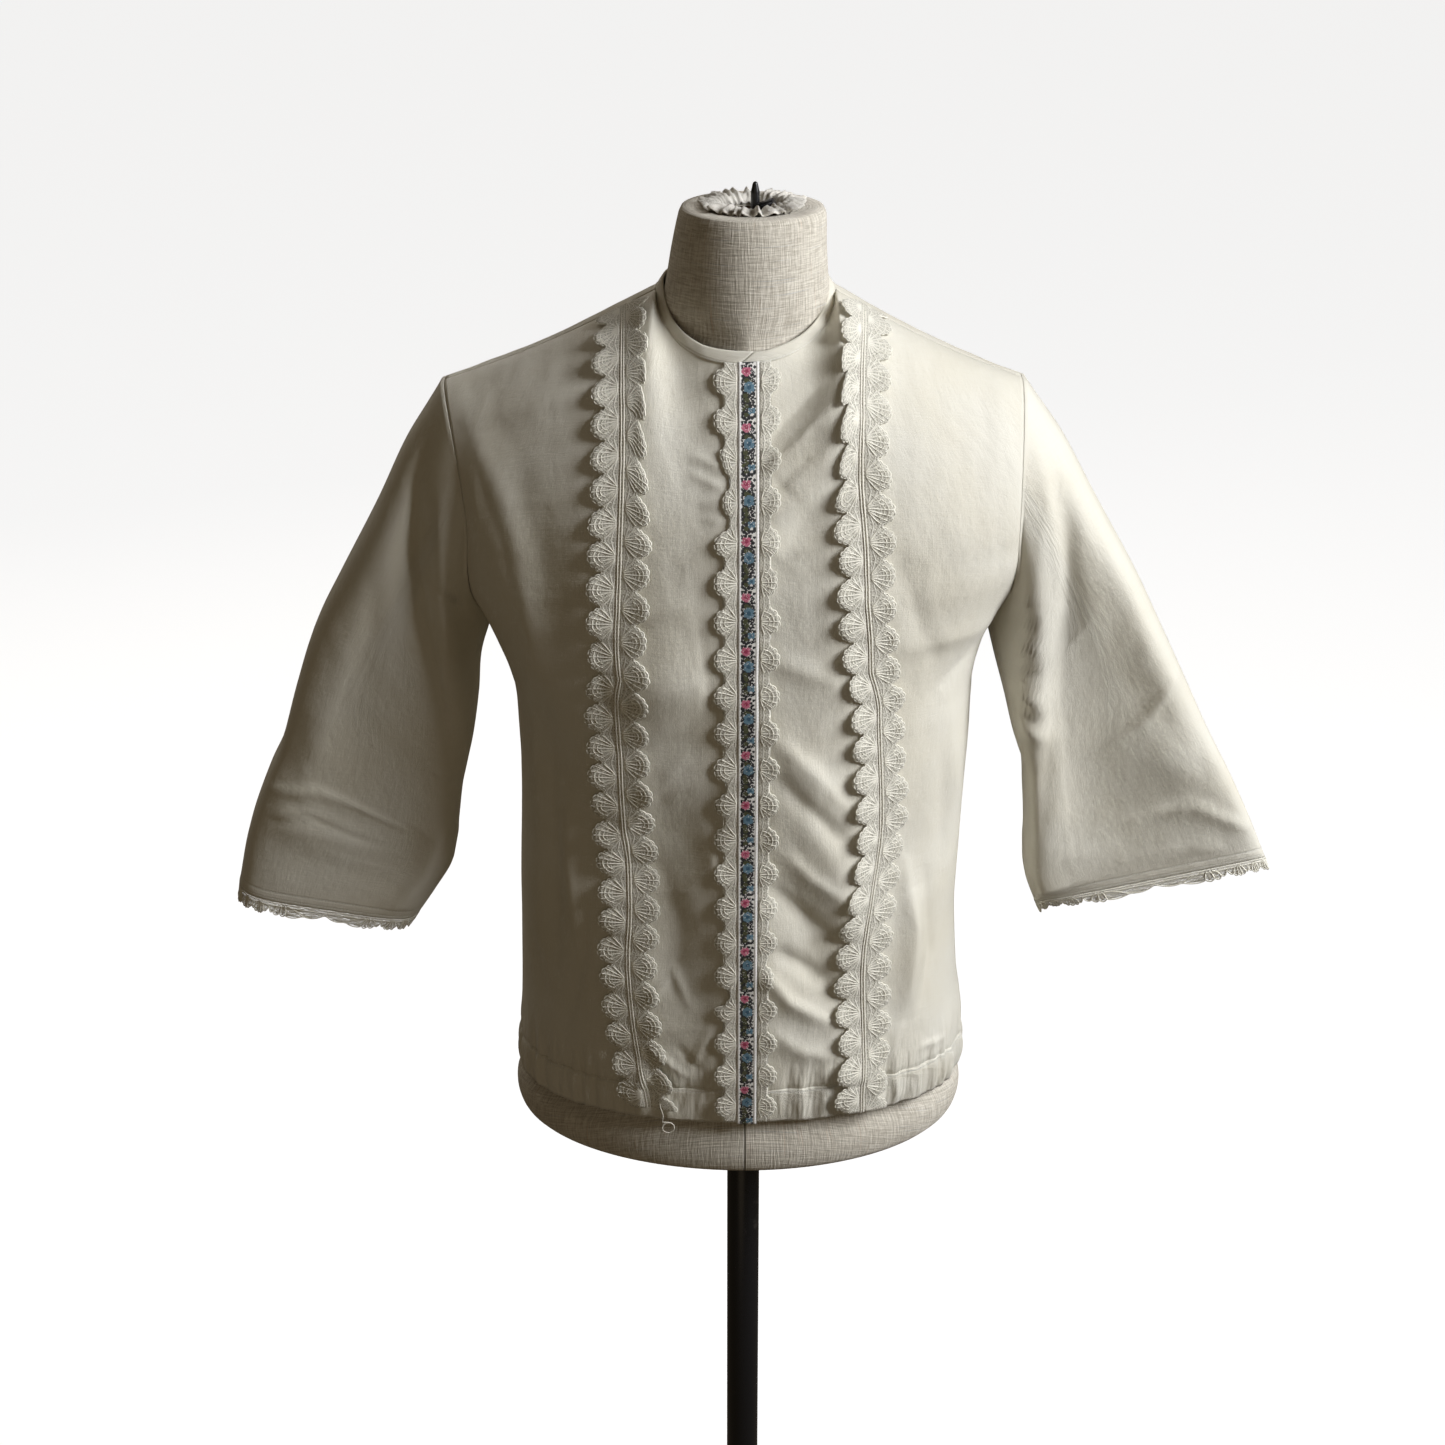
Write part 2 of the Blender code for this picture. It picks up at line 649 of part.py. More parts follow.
def oval(z_row, angle):
    left, right = FORM["left"][z_row], FORM["right"][z_row]
    front, back = FORM["front"][z_row], FORM["back"][z_row]
    c, s = math.cos(angle), math.sin(angle)
    power = 2 / FORM["round"][z_row]
    return Vector(((right if c > 0 else -left) * abs(c) ** power,
                   (back if s > 0 else -front) * abs(s) ** power, FORM["z"][z_row]))


def build_form(linen):
    """One body of rings, from the pole's socket round the outside to the recess in the neck."""
    hole = POLE_RADIUS + SEAM
    rings = [(hole * 0.5, FORM["z"][0] + SOCKET_DEPTH), (hole, FORM["z"][0] + SOCKET_DEPTH),
             (hole, FORM["z"][0])]
    rings += [None] * len(FORM["z"])
    rings += [(RECESS["rim"] + 12, 1400.0), (RECESS["rim"], 1398.0), (RECESS["radius"], 1394.0),
              (RECESS["radius"], RECESS["floor"]), (RECESS["radius"] * 0.5, RECESS["floor"])]

    def place(i, j):
        angle = 2 * math.pi * i / FORM_SIDES
        if rings[j] is None:
            return oval(j - 3, angle)
        radius, z = rings[j]
        shift = NECK_CENTRE if z > 1000 else 0.0
        return Vector((shift + radius * math.cos(angle), radius * math.sin(angle), z))

    mesh = bmesh.new()
    bmesh.ops.create_grid(mesh, x_segments=FORM_SIDES, y_segments=len(rings) - 1, size=1.0)
    for vert in mesh.verts:
        i = round((vert.co.x + 1) / 2 * FORM_SIDES) % FORM_SIDES
        j = round((vert.co.y + 1) / 2 * (len(rings) - 1))
        vert.co = place(i, j) * MM
    bmesh.ops.remove_doubles(mesh, verts=mesh.verts, dist=1e-7)
    bmesh.ops.holes_fill(mesh, edges=mesh.edges, sides=FORM_SIDES)
    bmesh.ops.recalc_face_normals(mesh, faces=mesh.faces)
    return keep("form_body", mesh, linen)


def turned(name, profile, steps, material, centre=(0.0, 0.0)):
    """A Screw round the vertical through centre, of (radius, z) from top to bottom."""
    mesh = bmesh.new()
    verts = [mesh.verts.new((radius * MM, 0, z * MM)) for radius, z in profile]
    for a, b in zip(verts, verts[1:]):
        mesh.edges.new((a, b))
    item = keep(name, mesh, material)
    item.location = (centre[0] * MM, centre[1] * MM, 0)
    screw = item.modifiers.new("Turn", "SCREW")
    screw.axis = "Z"
    screw.steps = steps
    screw.render_steps = steps
    screw.use_merge_vertices = True
    screw.merge_threshold = 0.00001
    return item


def build_stand(iron, painted):
    socket_top = FORM["z"][0] + SOCKET_DEPTH
    pole_foot = BASE["hub_top"] - BASE["socket"]
    turned("pole", [(0, socket_top - SEAM), (POLE_RADIUS, socket_top - SEAM),
                    (POLE_RADIUS, pole_foot + SEAM), (0, pole_foot + SEAM)], 24, painted)
    hole = POLE_RADIUS + SEAM
    turned("base", [(0, pole_foot), (hole, pole_foot), (hole, BASE["hub_top"]),
                    (BASE["hub"] - 2, BASE["hub_top"]), (BASE["hub"], BASE["hub_top"] - 2),
                    (BASE["hub"] + 4, BASE["crown"]), (BASE["radius"] - 40, BASE["edge"] + 4),
                    (BASE["radius"] - 4, BASE["edge"]), (BASE["radius"], BASE["edge"] - 4),
                    (BASE["radius"], 0), (0, 0)], 32, iron)


def build_finial(painted):
    """A post with a collar on the recess floor, and a clamping knob to the viewer's right."""
    floor = RECESS["floor"] + SEAM
    item = turned("finial", [(0, FINIAL["tip"]), (FINIAL["stem"] * 0.55, FINIAL["tip"] - 1),
                             (FINIAL["stem"], FINIAL["tip"] - 7), (FINIAL["stem"], 1398),
                             (FINIAL["foot"] * 0.6, 1395), (FINIAL["foot"], 1392.5),
                             (FINIAL["foot"], floor), (0, floor)], 12, painted,
                  (NECK_CENTRE + 2, 0))
    bpy.ops.mesh.primitive_cylinder_add(vertices=12, radius=4.2 * MM, depth=15 * MM,
                                        location=((NECK_CENTRE + 8) * MM, -2 * MM, 1396 * MM),
                                        rotation=(0, math.radians(68), math.radians(-12)))
    knob = bpy.context.object
    knob.name = "finial_knob_tool"
    knob.hide_render = True
    knob.display_type = "WIRE"
    helpers = bpy.data.collections.new("cutters")
    bpy.context.scene.collection.children.link(helpers)
    helpers.hide_render = True
    for owner in list(knob.users_collection):
        owner.objects.unlink(knob)
    helpers.objects.link(knob)
    join = item.modifiers.new("Knob", "BOOLEAN")
    join.operation = "UNION"
    join.solver = "EXACT"
    join.object = knob


def main():
    clear_scene()
    ivory = (0.80, 0.77, 0.68)
    names = ("front_right", "front_left", "back", "sleeve_right", "sleeve_left", "hem_casing",
             "neckband")
    cotton = {name: paint(name + "_cotton", ivory, 0.6) for name in names}
    lace = paint("ivory_lace", (0.84, 0.81, 0.72), 0.8)
    woven = paint("floral_ribbon", (0.78, 0.74, 0.70), 0.6)
    linen = paint("form_linen", (0.52, 0.48, 0.42), 0.95)
    painted = paint("black_paint", (0.02, 0.02, 0.02), 0.35, 0.4)
    iron = paint("black_iron", (0.02, 0.02, 0.022), 0.5, 0.5)
    build_form(linen)
    build_stand(iron, painted)
    build_finial(painted)
    build_fronts(cotton)
    build_back(cotton)
    build_hem(cotton)
    build_neckband(cotton)
    build_sleeves(cotton, lace)
    build_side_laces(lace)
    build_centre_laces(lace)
    build_ribbon(woven)


main()
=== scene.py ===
# Dresses the lace blouse on its form: creased cotton, lace, woven ribbon, linen form and black stand.
import math

import bmesh
import bpy
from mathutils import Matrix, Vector, noise


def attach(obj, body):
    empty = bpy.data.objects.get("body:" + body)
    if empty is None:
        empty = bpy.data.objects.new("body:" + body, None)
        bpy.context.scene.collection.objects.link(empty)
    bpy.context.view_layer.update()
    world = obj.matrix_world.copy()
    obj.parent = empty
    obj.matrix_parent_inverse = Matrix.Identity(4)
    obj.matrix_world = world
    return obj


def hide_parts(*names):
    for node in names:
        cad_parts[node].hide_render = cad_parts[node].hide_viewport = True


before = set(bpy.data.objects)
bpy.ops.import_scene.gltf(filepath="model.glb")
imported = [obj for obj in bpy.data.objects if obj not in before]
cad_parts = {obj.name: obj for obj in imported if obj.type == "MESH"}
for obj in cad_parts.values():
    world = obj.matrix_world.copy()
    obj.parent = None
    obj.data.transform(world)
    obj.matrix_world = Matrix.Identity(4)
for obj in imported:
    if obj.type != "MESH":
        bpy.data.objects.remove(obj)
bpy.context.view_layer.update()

mm = 0.001  # every table below is in millimetres

# The cut of the blouse; "left" and "right" in the tables are the viewer's.
blouse = {
    "openingX": -5.0, "backX": -3.0, "hemBottom": 776.0, "hemTop": 802.0, "hemRise": 9.0,
    "underarm": 1118.0, "yoke": 1190.0, "eased": (1080, 1162), "neckShare": 0.38, "flatness": 0.85,
    "seam": 0.3, "openingGap": 0.5, "sideGap": 0.4, "cloth": 0.55,
    "torso": {
        "z": (770, 800, 825, 853, 900, 940, 985, 1031, 1069, 1093, 1118),
        "left": (162, 162, 161, 160, 159, 158, 156, 155, 156, 161, 173),
        "right": (156, 158, 157, 153, 150, 150, 151, 155, 156, 157, 164),
        "front": (115, 116, 118, 119, 119, 118, 117, 117, 117, 117, 116),
        "back": (111, 111, 110, 109, 107, 105, 103, 103, 104, 106, 108)},
    "armhole": {
        "z": (1118, 1130, 1148, 1170, 1190),
        "left": (173, 178, 183, 184, 183), "right": (164, 170, 176, 179, 179),
        "front": (0, 18, 36, 48, 54), "back": (0, 18, 38, 53, 61),
        "deepFront": (116, 115, 114, 112, 109), "deepBack": (108, 109, 109, 109, 108),
        "turn": (90, 83, 72, 63, 58)},
    "neck": {"left": -59, "right": 58, "sideY": 2, "sideZ": 1345, "frontY": -60, "frontZ": 1316,
             "backY": 56, "backZ": 1349},
    "tips": {-1: Vector((-199, 3, 1284)), 1: Vector((182, 3, 1286))}, "shoulderDip": 4.0}


def hermite(t):
    return (2 * t**3 - 3 * t**2 + 1, t**3 - 2 * t**2 + t, -2 * t**3 + 3 * t**2, t**3 - t**2)


def smoothValue(heights, values, at):
    last = len(heights) - 1
    if at <= heights[0]:
        return values[0] + (values[1] - values[0]) * (at - heights[0]) / (heights[1] - heights[0])
    if at >= heights[last]:
        return values[last]
    i = max(k for k in range(last) if heights[k] <= at)
    slopes = []
    for k in (i, i + 1):
        low, high = max(k - 1, 0), min(k + 1, last)
        slopes.append((values[high] - values[low]) / (heights[high] - heights[low]))
    step = heights[i + 1] - heights[i]
    a, b, c, d = hermite((at - heights[i]) / step)
    return a * values[i] + b * step * slopes[0] + c * values[i + 1] + d * step * slopes[1]


def lookUp(table, column, at, key="z"):
    return smoothValue(table[key], table[column], at)


def ease(low, high, at):
    t = min(max((at - low) / (high - low), 0.0), 1.0)
    return t * t * (3 - 2 * t)


def ripple(x, y, seed=0.0):
    return noise.noise(Vector((x, y, seed)))


def section(side, face, u, z):  # the torso at height z, u from the centre line to the panel's edge
    out = -1 if face == "front" else 1
    sideName = "left" if side < 0 else "right"
    if z <= blouse["underarm"]:
        edgeX, edgeY = lookUp(blouse["torso"], sideName, z), 0.0
        deep, turn = lookUp(blouse["torso"], face, z), math.pi / 2
    else:
        hole = blouse["armhole"]
        edgeX, edgeY = lookUp(hole, sideName, z), lookUp(hole, face, z)
        deep = lookUp(hole, "deepFront" if face == "front" else "deepBack", z)
        turn = math.radians(lookUp(hole, "turn", z))
    middle = blouse["openingX"] if face == "front" else blouse["backX"]
    across = math.sin(u * turn) / math.sin(turn)
    fall = max((math.cos(u * turn) - math.cos(turn)) / (1 - math.cos(turn)), 0.0) ** blouse["flatness"]
    return Vector((middle + (side * edgeX - middle) * across,
                   out * (edgeY + blouse["sideGap"] / 2 + (deep - edgeY) * fall), z))


def topLine(side, face, u):  # the neckline, then the shoulder seam out to its tip
    neck, share = blouse["neck"], blouse["neckShare"]
    out = -1 if face == "front" else 1
    middle = blouse["openingX"] if face == "front" else blouse["backX"]
    neckX = neck["left" if side < 0 else "right"]
    seam = out * blouse["sideGap"] / 2
    if u <= share:
        angle = math.pi / 2 * u / share
        return Vector((middle + (neckX - middle) * math.sin(angle),
                       neck["sideY"] + (neck[face + "Y"] - neck["sideY"]) * math.cos(angle) + seam,
                       neck[face + "Z"] + (neck["sideZ"] - neck[face + "Z"]) * (1 - math.cos(angle)) ** 1.2))
    t = (u - share) / (1 - share)
    point = Vector((neckX, neck["sideY"], neck["sideZ"])).lerp(blouse["tips"][side], t)
    point.z -= blouse["shoulderDip"] * math.sin(math.pi * t)
    point.y += seam
    return point


def torso(side, face, u, v):  # the blouse's face: v 0 to 1 from hem seam to yoke, 1 to 2 to the top line
    low, yoke = blouse["hemTop"], blouse["yoke"]
    if v <= 1:
        rise = blouse["hemRise"] * (1 - u * u) * (1 - ease(0, 0.5, v)) if face == "front" else 0.0
        return section(side, face, u, low + (yoke - low) * v + rise)
    start = section(side, face, u, yoke)
    leaving = (start - section(side, face, u, yoke - 4)).normalized()
    end = topLine(side, face, u)
    length = (end - start).length
    rising = 2.0 * (1 - ease(0, blouse["neckShare"] * 1.05, u)) - 0.14
    arriving = Vector((0, 1 if face == "front" else -1, rising)).normalized()
    a, b, c, d = hermite(v - 1)
    return a * start + b * length * leaving + c * end + d * length * arriving


def vOf(z):
    return (z - blouse["hemTop"]) / (blouse["yoke"] - blouse["hemTop"])


def readyFolds(folds):  # adds each fold's own box, so that most points skip most folds
    ready = []
    for path, half, height, steep in folds:
        reach = 2.4 * half
        xs, zs = [p[0] for p in path], [p[1] for p in path]
        ready.append((path, half, height, steep, min(xs) - reach, max(xs) + reach, min(zs) - reach,
                      max(zs) + reach))
    return ready


def foldHeight(folds, x, z):
    total = 0.0
    for path, half, height, steep, left, right, low, high in folds:
        if not (left < x < right and low < z < high):
            continue
        near = None
        for k in range(len(path) - 1):
            (ax, az), (bx, bz) = path[k], path[k + 1]
            rx, rz = bx - ax, bz - az
            t = min(max(((x - ax) * rx + (z - az) * rz) / (rx * rx + rz * rz), 0.0), 1.0)
            dx, dz = x - ax - rx * t, z - az - rz * t
            away = math.hypot(dx, dz)
            if near is None or away < near[0]:
                near = (away, (k + t) / (len(path) - 1), rx * dz - rz * dx)
        away, along, flank = near
        width = half * (steep if flank > 0 else 1.0)
        fade = 0.25 + 0.75 * math.sin(math.pi * min(max(along, 0.0), 1.0)) ** 0.7
        total += height * fade * math.exp(-((away / width) ** 1.7))
    return total


hem = {"gathers": 44, "depth": 2.4, "rows": 12, "perGather": 11, "fade": 0.085, "above": 0.62,
       "crinkle": 0.9, "groove": 0.9, "lift": 1.2, "tuck": 1.1, "tuckTop": 798}


def gatherWave(t):  # the hem's uneven gathers, once round for t 0 to 1
    turn = 2 * math.pi
    swing = hem["gathers"] * t + 0.34 * math.sin(turn * 7 * t + 1) + 0.22 * math.sin(turn * 17 * t)
    return math.cos(turn * swing) * (0.72 + 0.5 * ripple(t * 31, 4.2))


def girthPlace(side, face, u):
    if face == "front":
        return u / 4 if side < 0 else 1 - u / 4
    return (2 - u) / 4 if side < 0 else (2 + u) / 4


def calmAt(point):  # no gathers beside the ribbon
    return ease(16, 30, abs(point.x - 2)) if point.y < 0 else 1.0


creases = {"folds": 1.3, "soft": (1.1, 38, 85), "fine": (0.4, 12, 26)}


def unevenness(look, x, z, softSeed, fineSeed):  # what worn cloth has between its folds
    (soft, softX, softZ), (fine, fineX, fineZ) = look["soft"], look["fine"]
    return soft * ripple(x / softX, z / softZ, softSeed) + fine * ripple(x / fineX, z / fineZ, fineSeed)


class Cloth:  # a panel's fine grid of points and normals, on which trims are laid
    def __init__(self, side, face, uSteps, vSteps, folds):
        self.u, self.v = uSteps, vSteps
        smooth = [[torso(side, face, u, v) for u in uSteps] for v in vSteps]
        low, high = (vOf(z) for z in blouse["eased"])
        near = [j for j, v in enumerate(vSteps) if low < v < high]
        for _ in range(50):  # eases the turn of the panel below the armhole
            for j in near:
                for i, u in enumerate(uSteps):
                    share = 0.5 * (1 - ease(0.93, 0.99, u))
                    smooth[j][i] = smooth[j][i].lerp((smooth[j - 1][i] + smooth[j + 1][i]) / 2, share)
        self.normals = gridNormals(smooth, side if face == "front" else -side)
        self.rows = []
        for j, v in enumerate(vSteps):
            row = []
            for i, u in enumerate(uSteps):
                point = smooth[j][i]
                hold = (1 - ease(0.92, 1, u)) * ease(0, 0.06, v) * (1 - ease(1.82, 2, v))
                if face == "front":
                    hold *= ease(0, 0.1, u)
                push = creases["folds"] * foldHeight(folds, point.x, point.z)
                seeds = side * 3.1 + (9 if face == "back" else 0), side * 5.3 + (7 if face == "back" else 0)
                push += unevenness(creases, point.x, point.z, *seeds)
                push = push * hold + self.gathered(side, face, u, v) * calmAt(point)
                if face == "front" and u == 0:
                    point.x += side * blouse["openingGap"] / 2
                row.append(point + self.normals[j][i] * push)
            self.rows.append(row)

    @staticmethod
    def gathered(side, face, u, v):  # the hem's gathers run up into the panel, over a groove at its seam
        place = girthPlace(side, face, u)
        low = 1 - ease(0, hem["fade"] + 0.05 * ripple(u * 14, side), max(v, 0.0))
        waves = hem["above"] * hem["depth"] * gatherWave(place)
        waves += hem["crinkle"] * ripple(place * 150, v * 20, 6)
        return low * waves - hem["groove"] * (1 - ease(0, 0.008, abs(v)))

    def at(self, u, v):
        i = min(int(u * (len(self.u) - 1)), len(self.u) - 2)
        low, high = 0, len(self.v) - 2
        while low < high:
            middle = (low + high + 1) // 2
            low, high = (middle, high) if self.v[middle] <= v else (low, middle - 1)
        s = u * (len(self.u) - 1) - i
        t = min(max((v - self.v[low]) / (self.v[low + 1] - self.v[low]), 0.0), 1.0)
        found = []
        for rows in (self.rows, self.normals):
            found.append(rows[low][i].lerp(rows[low][i + 1], s).lerp(
                rows[low + 1][i].lerp(rows[low + 1][i + 1], s), t))
        return found[0], found[1].normalized()


def gridNormals(rows, sign):
    normals = []
    for j in range(len(rows)):
        up, down = rows[min(j + 1, len(rows) - 1)], rows[max(j - 1, 0)]
        line = []
        for i in range(len(rows[0])):
            along = rows[j][min(i + 1, len(rows[0]) - 1)] - rows[j][max(i - 1, 0)]
            line.append((along.cross(up[i] - down[i]) * sign).normalized())
        normals.append(line)
    return normals


def maths(operation, swapped=False):  # a method that adds one Math node
    def apply(self, *others):
        values = (*others, self) if swapped else (self, *others)
        return self.finish.node("Math", {"operation": operation}, values)

    return apply


class Value:  # a socket that takes part in sums
    def __init__(self, finish, socket):
        self.finish, self.socket = finish, socket

    __add__ = __radd__ = maths("ADD")
    __mul__ = __rmul__ = maths("MULTIPLY")
    __sub__, __rsub__ = maths("SUBTRACT"), maths("SUBTRACT", True)
    __truediv__, __pow__ = maths("DIVIDE"), maths("POWER")
    __lt__, __gt__ = maths("LESS_THAN"), maths("GREATER_THAN")
    wave, size, part, whole = maths("SINE"), maths("ABSOLUTE"), maths("FRACT"), maths("FLOOR")
    larger, smaller = maths("MAXIMUM"), maths("MINIMUM")


class Finish:  # one material and its nodes
    def __init__(self, name, fixed):
        self.material = bpy.data.materials.new(name)
        self.material.use_nodes = True
        self.tree = self.material.node_tree
        self.shader = self.tree.nodes["Principled BSDF"]
        for socket, value in fixed.items():
            self.shader.inputs[socket].default_value = value

    def node(self, kind, settings=None, values=(), out=0):
        made = self.tree.nodes.new("ShaderNode" + kind)
        for key, setting in (settings or {}).items():
            setattr(made, key, setting)
        for key, value in (values.items() if isinstance(values, dict) else enumerate(values)):
            if isinstance(value, Value):
                self.tree.links.new(value.socket, made.inputs[key])
            else:
                made.inputs[key].default_value = value
        return Value(self, made.outputs[out])

    def feed(self, socket, value):
        self.tree.links.new(value.socket, self.shader.inputs[socket])

    def parts(self, vector):  # the three numbers of a vector
        outputs = self.node("SeparateXYZ", None, (vector,)).socket.node.outputs
        return [Value(self, socket) for socket in outputs]

    def mapXY(self):  # the piece's own map, in millimetres across and along
        return self.parts(self.node("UVMap", {"uv_map": "clothMap"}))[:2]

    def here(self):  # the place on the object, in metres
        return self.node("TexCoord", None, (), 3)

    def spot(self, x, y, z=0.0):
        return self.node("CombineXYZ", None, (x, y, z))

    def cloud(self, vector, scale, detail=2.0, rough=0.5):
        values = {"Vector": vector, "Scale": scale, "Detail": detail, "Roughness": rough}
        return self.node("TexNoise", None, values)

    def mix(self, share, first, second):
        return self.node("Mix", {"data_type": "RGBA"}, {0: share, 6: first, 7: second}, 2)

    def step(self, value, low, high):
        return self.node("MapRange", {"interpolation_type": "SMOOTHSTEP"}, {0: value, 1: low, 2: high})

    def done(self, colour, rough, height, depth):  # height 0 to 1 stands for depth in millimetres
        self.feed("Base Color", colour)
        self.feed("Roughness", rough)
        bump = self.node("Bump", None, {"Strength": 1.0, "Distance": depth * mm, "Height": height})
        self.feed("Normal", bump)
        return self.material


def rgb(red, green, blue):
    return (red, green, blue, 1)


def ivoryCotton(name, stitches=(), seed=0.0, crinkled=0.0):  # crinkled: how high the gathers reach, in mm
    look = {"cream": rgb(0.785, 0.764, 0.680), "worn": rgb(0.745, 0.710, 0.600),
            "thread": rgb(0.84, 0.83, 0.77)}
    f = Finish(name, {"Sheen Weight": 0.28, "Sheen Roughness": 0.35, "Specular IOR Level": 0.30})
    x, y = f.mapXY()
    weave = (x * 14.2).wave() * (y * 13.1).wave()
    slub = f.cloud(f.spot(x * 0.07, y * 0.9, seed), 1.0, 3.0)
    slub = slub + f.cloud(f.spot(x * 0.9, y * 0.07, seed + 4), 1.0, 3.0)
    crush = f.cloud(f.spot(x * 0.07, y * 0.045, seed), 1.0, 4.0, 0.55)
    stain = f.cloud(f.spot(x * 0.012, y * 0.012, seed + 8), 1.0, 2.0)
    height = crush * 0.95 + slub * 0.11 + weave * 0.03
    if crinkled:
        px, py, pz = f.parts(f.here())
        ridges = f.cloud(f.spot(px * 105, py * 105, pz * 22), 1.0, 2.0, 0.5)
        fade = 1 - f.step(pz * 1000, 804, 804 + crinkled)
        height = height + f.step(ridges, 0.30, 0.70) * fade * 1.5
    colour = f.mix(f.step(stain * 0.7 + slub * 0.18, 0.35, 0.75), look["cream"], look["worn"])
    for line in stitches:
        near = (y - line).size()
        dash = ((x / 2.3).part() < 0.72) * (near < 0.34)
        height = height + dash * 0.30 - f.step(near * -1, -1.6, -0.1) * 0.22
        colour = f.mix(dash * 0.7, colour, look["thread"])
    return f.done(colour, 0.50 + slub * 0.10, height, 1.0)


laceLook = {"thread": (rgb(0.835, 0.808, 0.700), rgb(0.905, 0.885, 0.795)),
            "net": (rgb(0.805, 0.775, 0.660), rgb(0.885, 0.862, 0.770))}


def laceThread(name):
    f = Finish(name, {"Sheen Weight": 0.3, "Sheen Roughness": 0.5, "Specular IOR Level": 0.35})
    twist = f.cloud(f.here(), 1400.0, 2.0)
    return f.done(f.mix(twist, *laceLook["thread"]), 0.72 + twist * 0.15, twist, 0.25)


def laceNet(name, pitch, root, petals, shifted=False, veil=0.56):
    # Map x is millimetres from the sewn line, y counts scallops. Fans of ribs lie on a fine net.
    f = Finish(name, {"Sheen Weight": 0.3, "Sheen Roughness": 0.5, "Specular IOR Level": 0.3})
    x, s = f.mapXY()
    out = x.size()
    turn = (x > 0) * 0.5 if shifted else 0.0
    y = ((s + turn).part() - 0.5) * pitch
    deep = out - root
    reach = (deep * deep + y * y) ** 0.5
    angle = f.node("Math", {"operation": "ARCTAN2"}, (y, deep))
    rib = 1 - f.step((angle * petals).wave().size() * reach * (1 / petals), 0.25, 0.55)
    ring = 1 - f.step((reach * 0.72).wave().size(), 0.10, 0.34)
    fan = f.step(deep, -0.5, 0.5)
    mesh = ((out + y) * 1.5).wave().size().smaller(((out - y) * 1.5).wave().size())
    net = 1 - f.step(mesh, 0.22, 0.50)
    dense = f.step(f.cloud(f.spot(out * 0.9, s * 12.0), 1.0, 2.0), 0.42, 0.60)
    solid = (rib * fan).larger(ring * fan).larger(net * 0.8).larger(dense * 0.6)
    f.feed("Alpha", solid * (0.97 - veil) + veil)
    return f.done(f.mix(solid, *laceLook["net"]), 0.9 - solid * 0.15, solid + rib * fan * 0.6, 0.32)


braid = {  # a repeat of the floral braid: each dot is (across, along, radius) in millimetres
    "repeat": 36.0, "thread": (0.62, 0.58), "from": 1.7, "to": 15.0,
    # the braid's white, and a painted shade of it that threads take at random
    "spread": {"black": 1.55, "green": 1.55}, "groundAndShade": (rgb(0.90, 0.888, 0.855), rgb(0.72, 0.70, 0.67)),
    # the twisted edge's white, and a darker copy of it that is painted shade in the grooves of its twist
    "edge": (rgb(0.86, 0.85, 0.82), rgb(0.95, 0.945, 0.92)),
    "black": ((10.2, 3.6, .7), (11.2, 5.2, .7), (10.4, 6.8, .7), (6.0, 8.6, 1.2), (8.2, 8.9, 1.1),
              (5.0, 10.3, .9), (10.0, 9.3, .9), (4.4, 7.2, .7), (4.2, 12.2, .7), (4.3, 15.8, .7),
              (11.9, 12.3, .6), (5.2, 14.5, .8), (11.9, 16.6, .6), (5.6, 17.9, .9), (8.4, 19.8, 1.1),
              (5.2, 22.0, 1.1), (6.0, 24.8, 1.2), (8.4, 24.6, 1.0), (4.6, 26.2, .8), (10.9, 20.8, .5),
              (11.6, 19.8, .45), (10.2, 21.9, .5), (10.9, 23.2, .5), (11.7, 24.2, .45), (10.2, 24.4, .5),
              (11.2, 25.8, .45), (8.0, 27.9, .7), (8.1, 31.4, .8), (12.2, 31.9, .5), (6.2, 29.2, 1.1),
              (5.0, 31.2, .9), (5.6, 33.9, .8), (8.6, 33.9, .9), (10.6, 34.1, .7), (4.4, 2.0, .6),
              (7.2, 21.2, .8), (4.3, .3, .7), (6.4, .7, .7), (9.4, .8, .8), (12.0, 1.7, .6), (12.1, 7.9, .6),
              (11.2, 10.6, .8), (12.2, 14.6, .5), (11.2, 18.6, .8), (4.3, 19.8, .6), (4.2, 24.0, .6),
              (12.1, 22.0, .45), (12.2, 26.9, .6), (9.5, 26.6, .8), (11.9, 33.4, .7), (7.2, 35.3, .7),
              (10.1, 18.9, .7), (7.0, 18.4, .8), (6.9, 12.0, .6), (12.2, 29.6, .4), (4.2, 33.4, .6)),
    "green": ((7.2, 10.2, 1.0), (6.4, 20.0, 1.1), (7.3, 22.9, 1.1), (7.0, 26.6, 1.0), (6.9, 32.0, 1.0),
              (9.4, 10.8, .7), (4.9, 28.4, .7)),
    "pink": ((6.0, 3.0, 1.3), (8.3, 2.9, 1.25), (5.8, 5.1, 1.3), (8.2, 5.3, 1.25), (7.0, 6.3, 1.1),
             (4.3, 4.3, .6)),
    "rose": ((7.1, 4.2, 1.15),),
    "blue": ((7.2, 13.4, 1.5), (10.3, 13.3, 1.4), (6.9, 15.9, 1.4), (10.5, 16.0, 1.4), (8.8, 17.1, 1.3),
             (8.7, 12.2, 1.3), (9.2, 28.8, 1.05), (11.3, 28.7, 1.0), (9.3, 30.6, 1.0), (11.4, 30.5, 1.0)),
    "teal": ((8.8, 14.7, 1.2), (10.3, 29.7, .75)),
    "colours": {"black": rgb(0.012, 0.012, 0.014), "green": rgb(0.060, 0.066, 0.022),
                "pink": rgb(0.58, 0.15, 0.24), "rose": rgb(0.36, 0.035, 0.09),
                "blue": rgb(0.11, 0.215, 0.29), "teal": rgb(0.030, 0.090, 0.150)}}


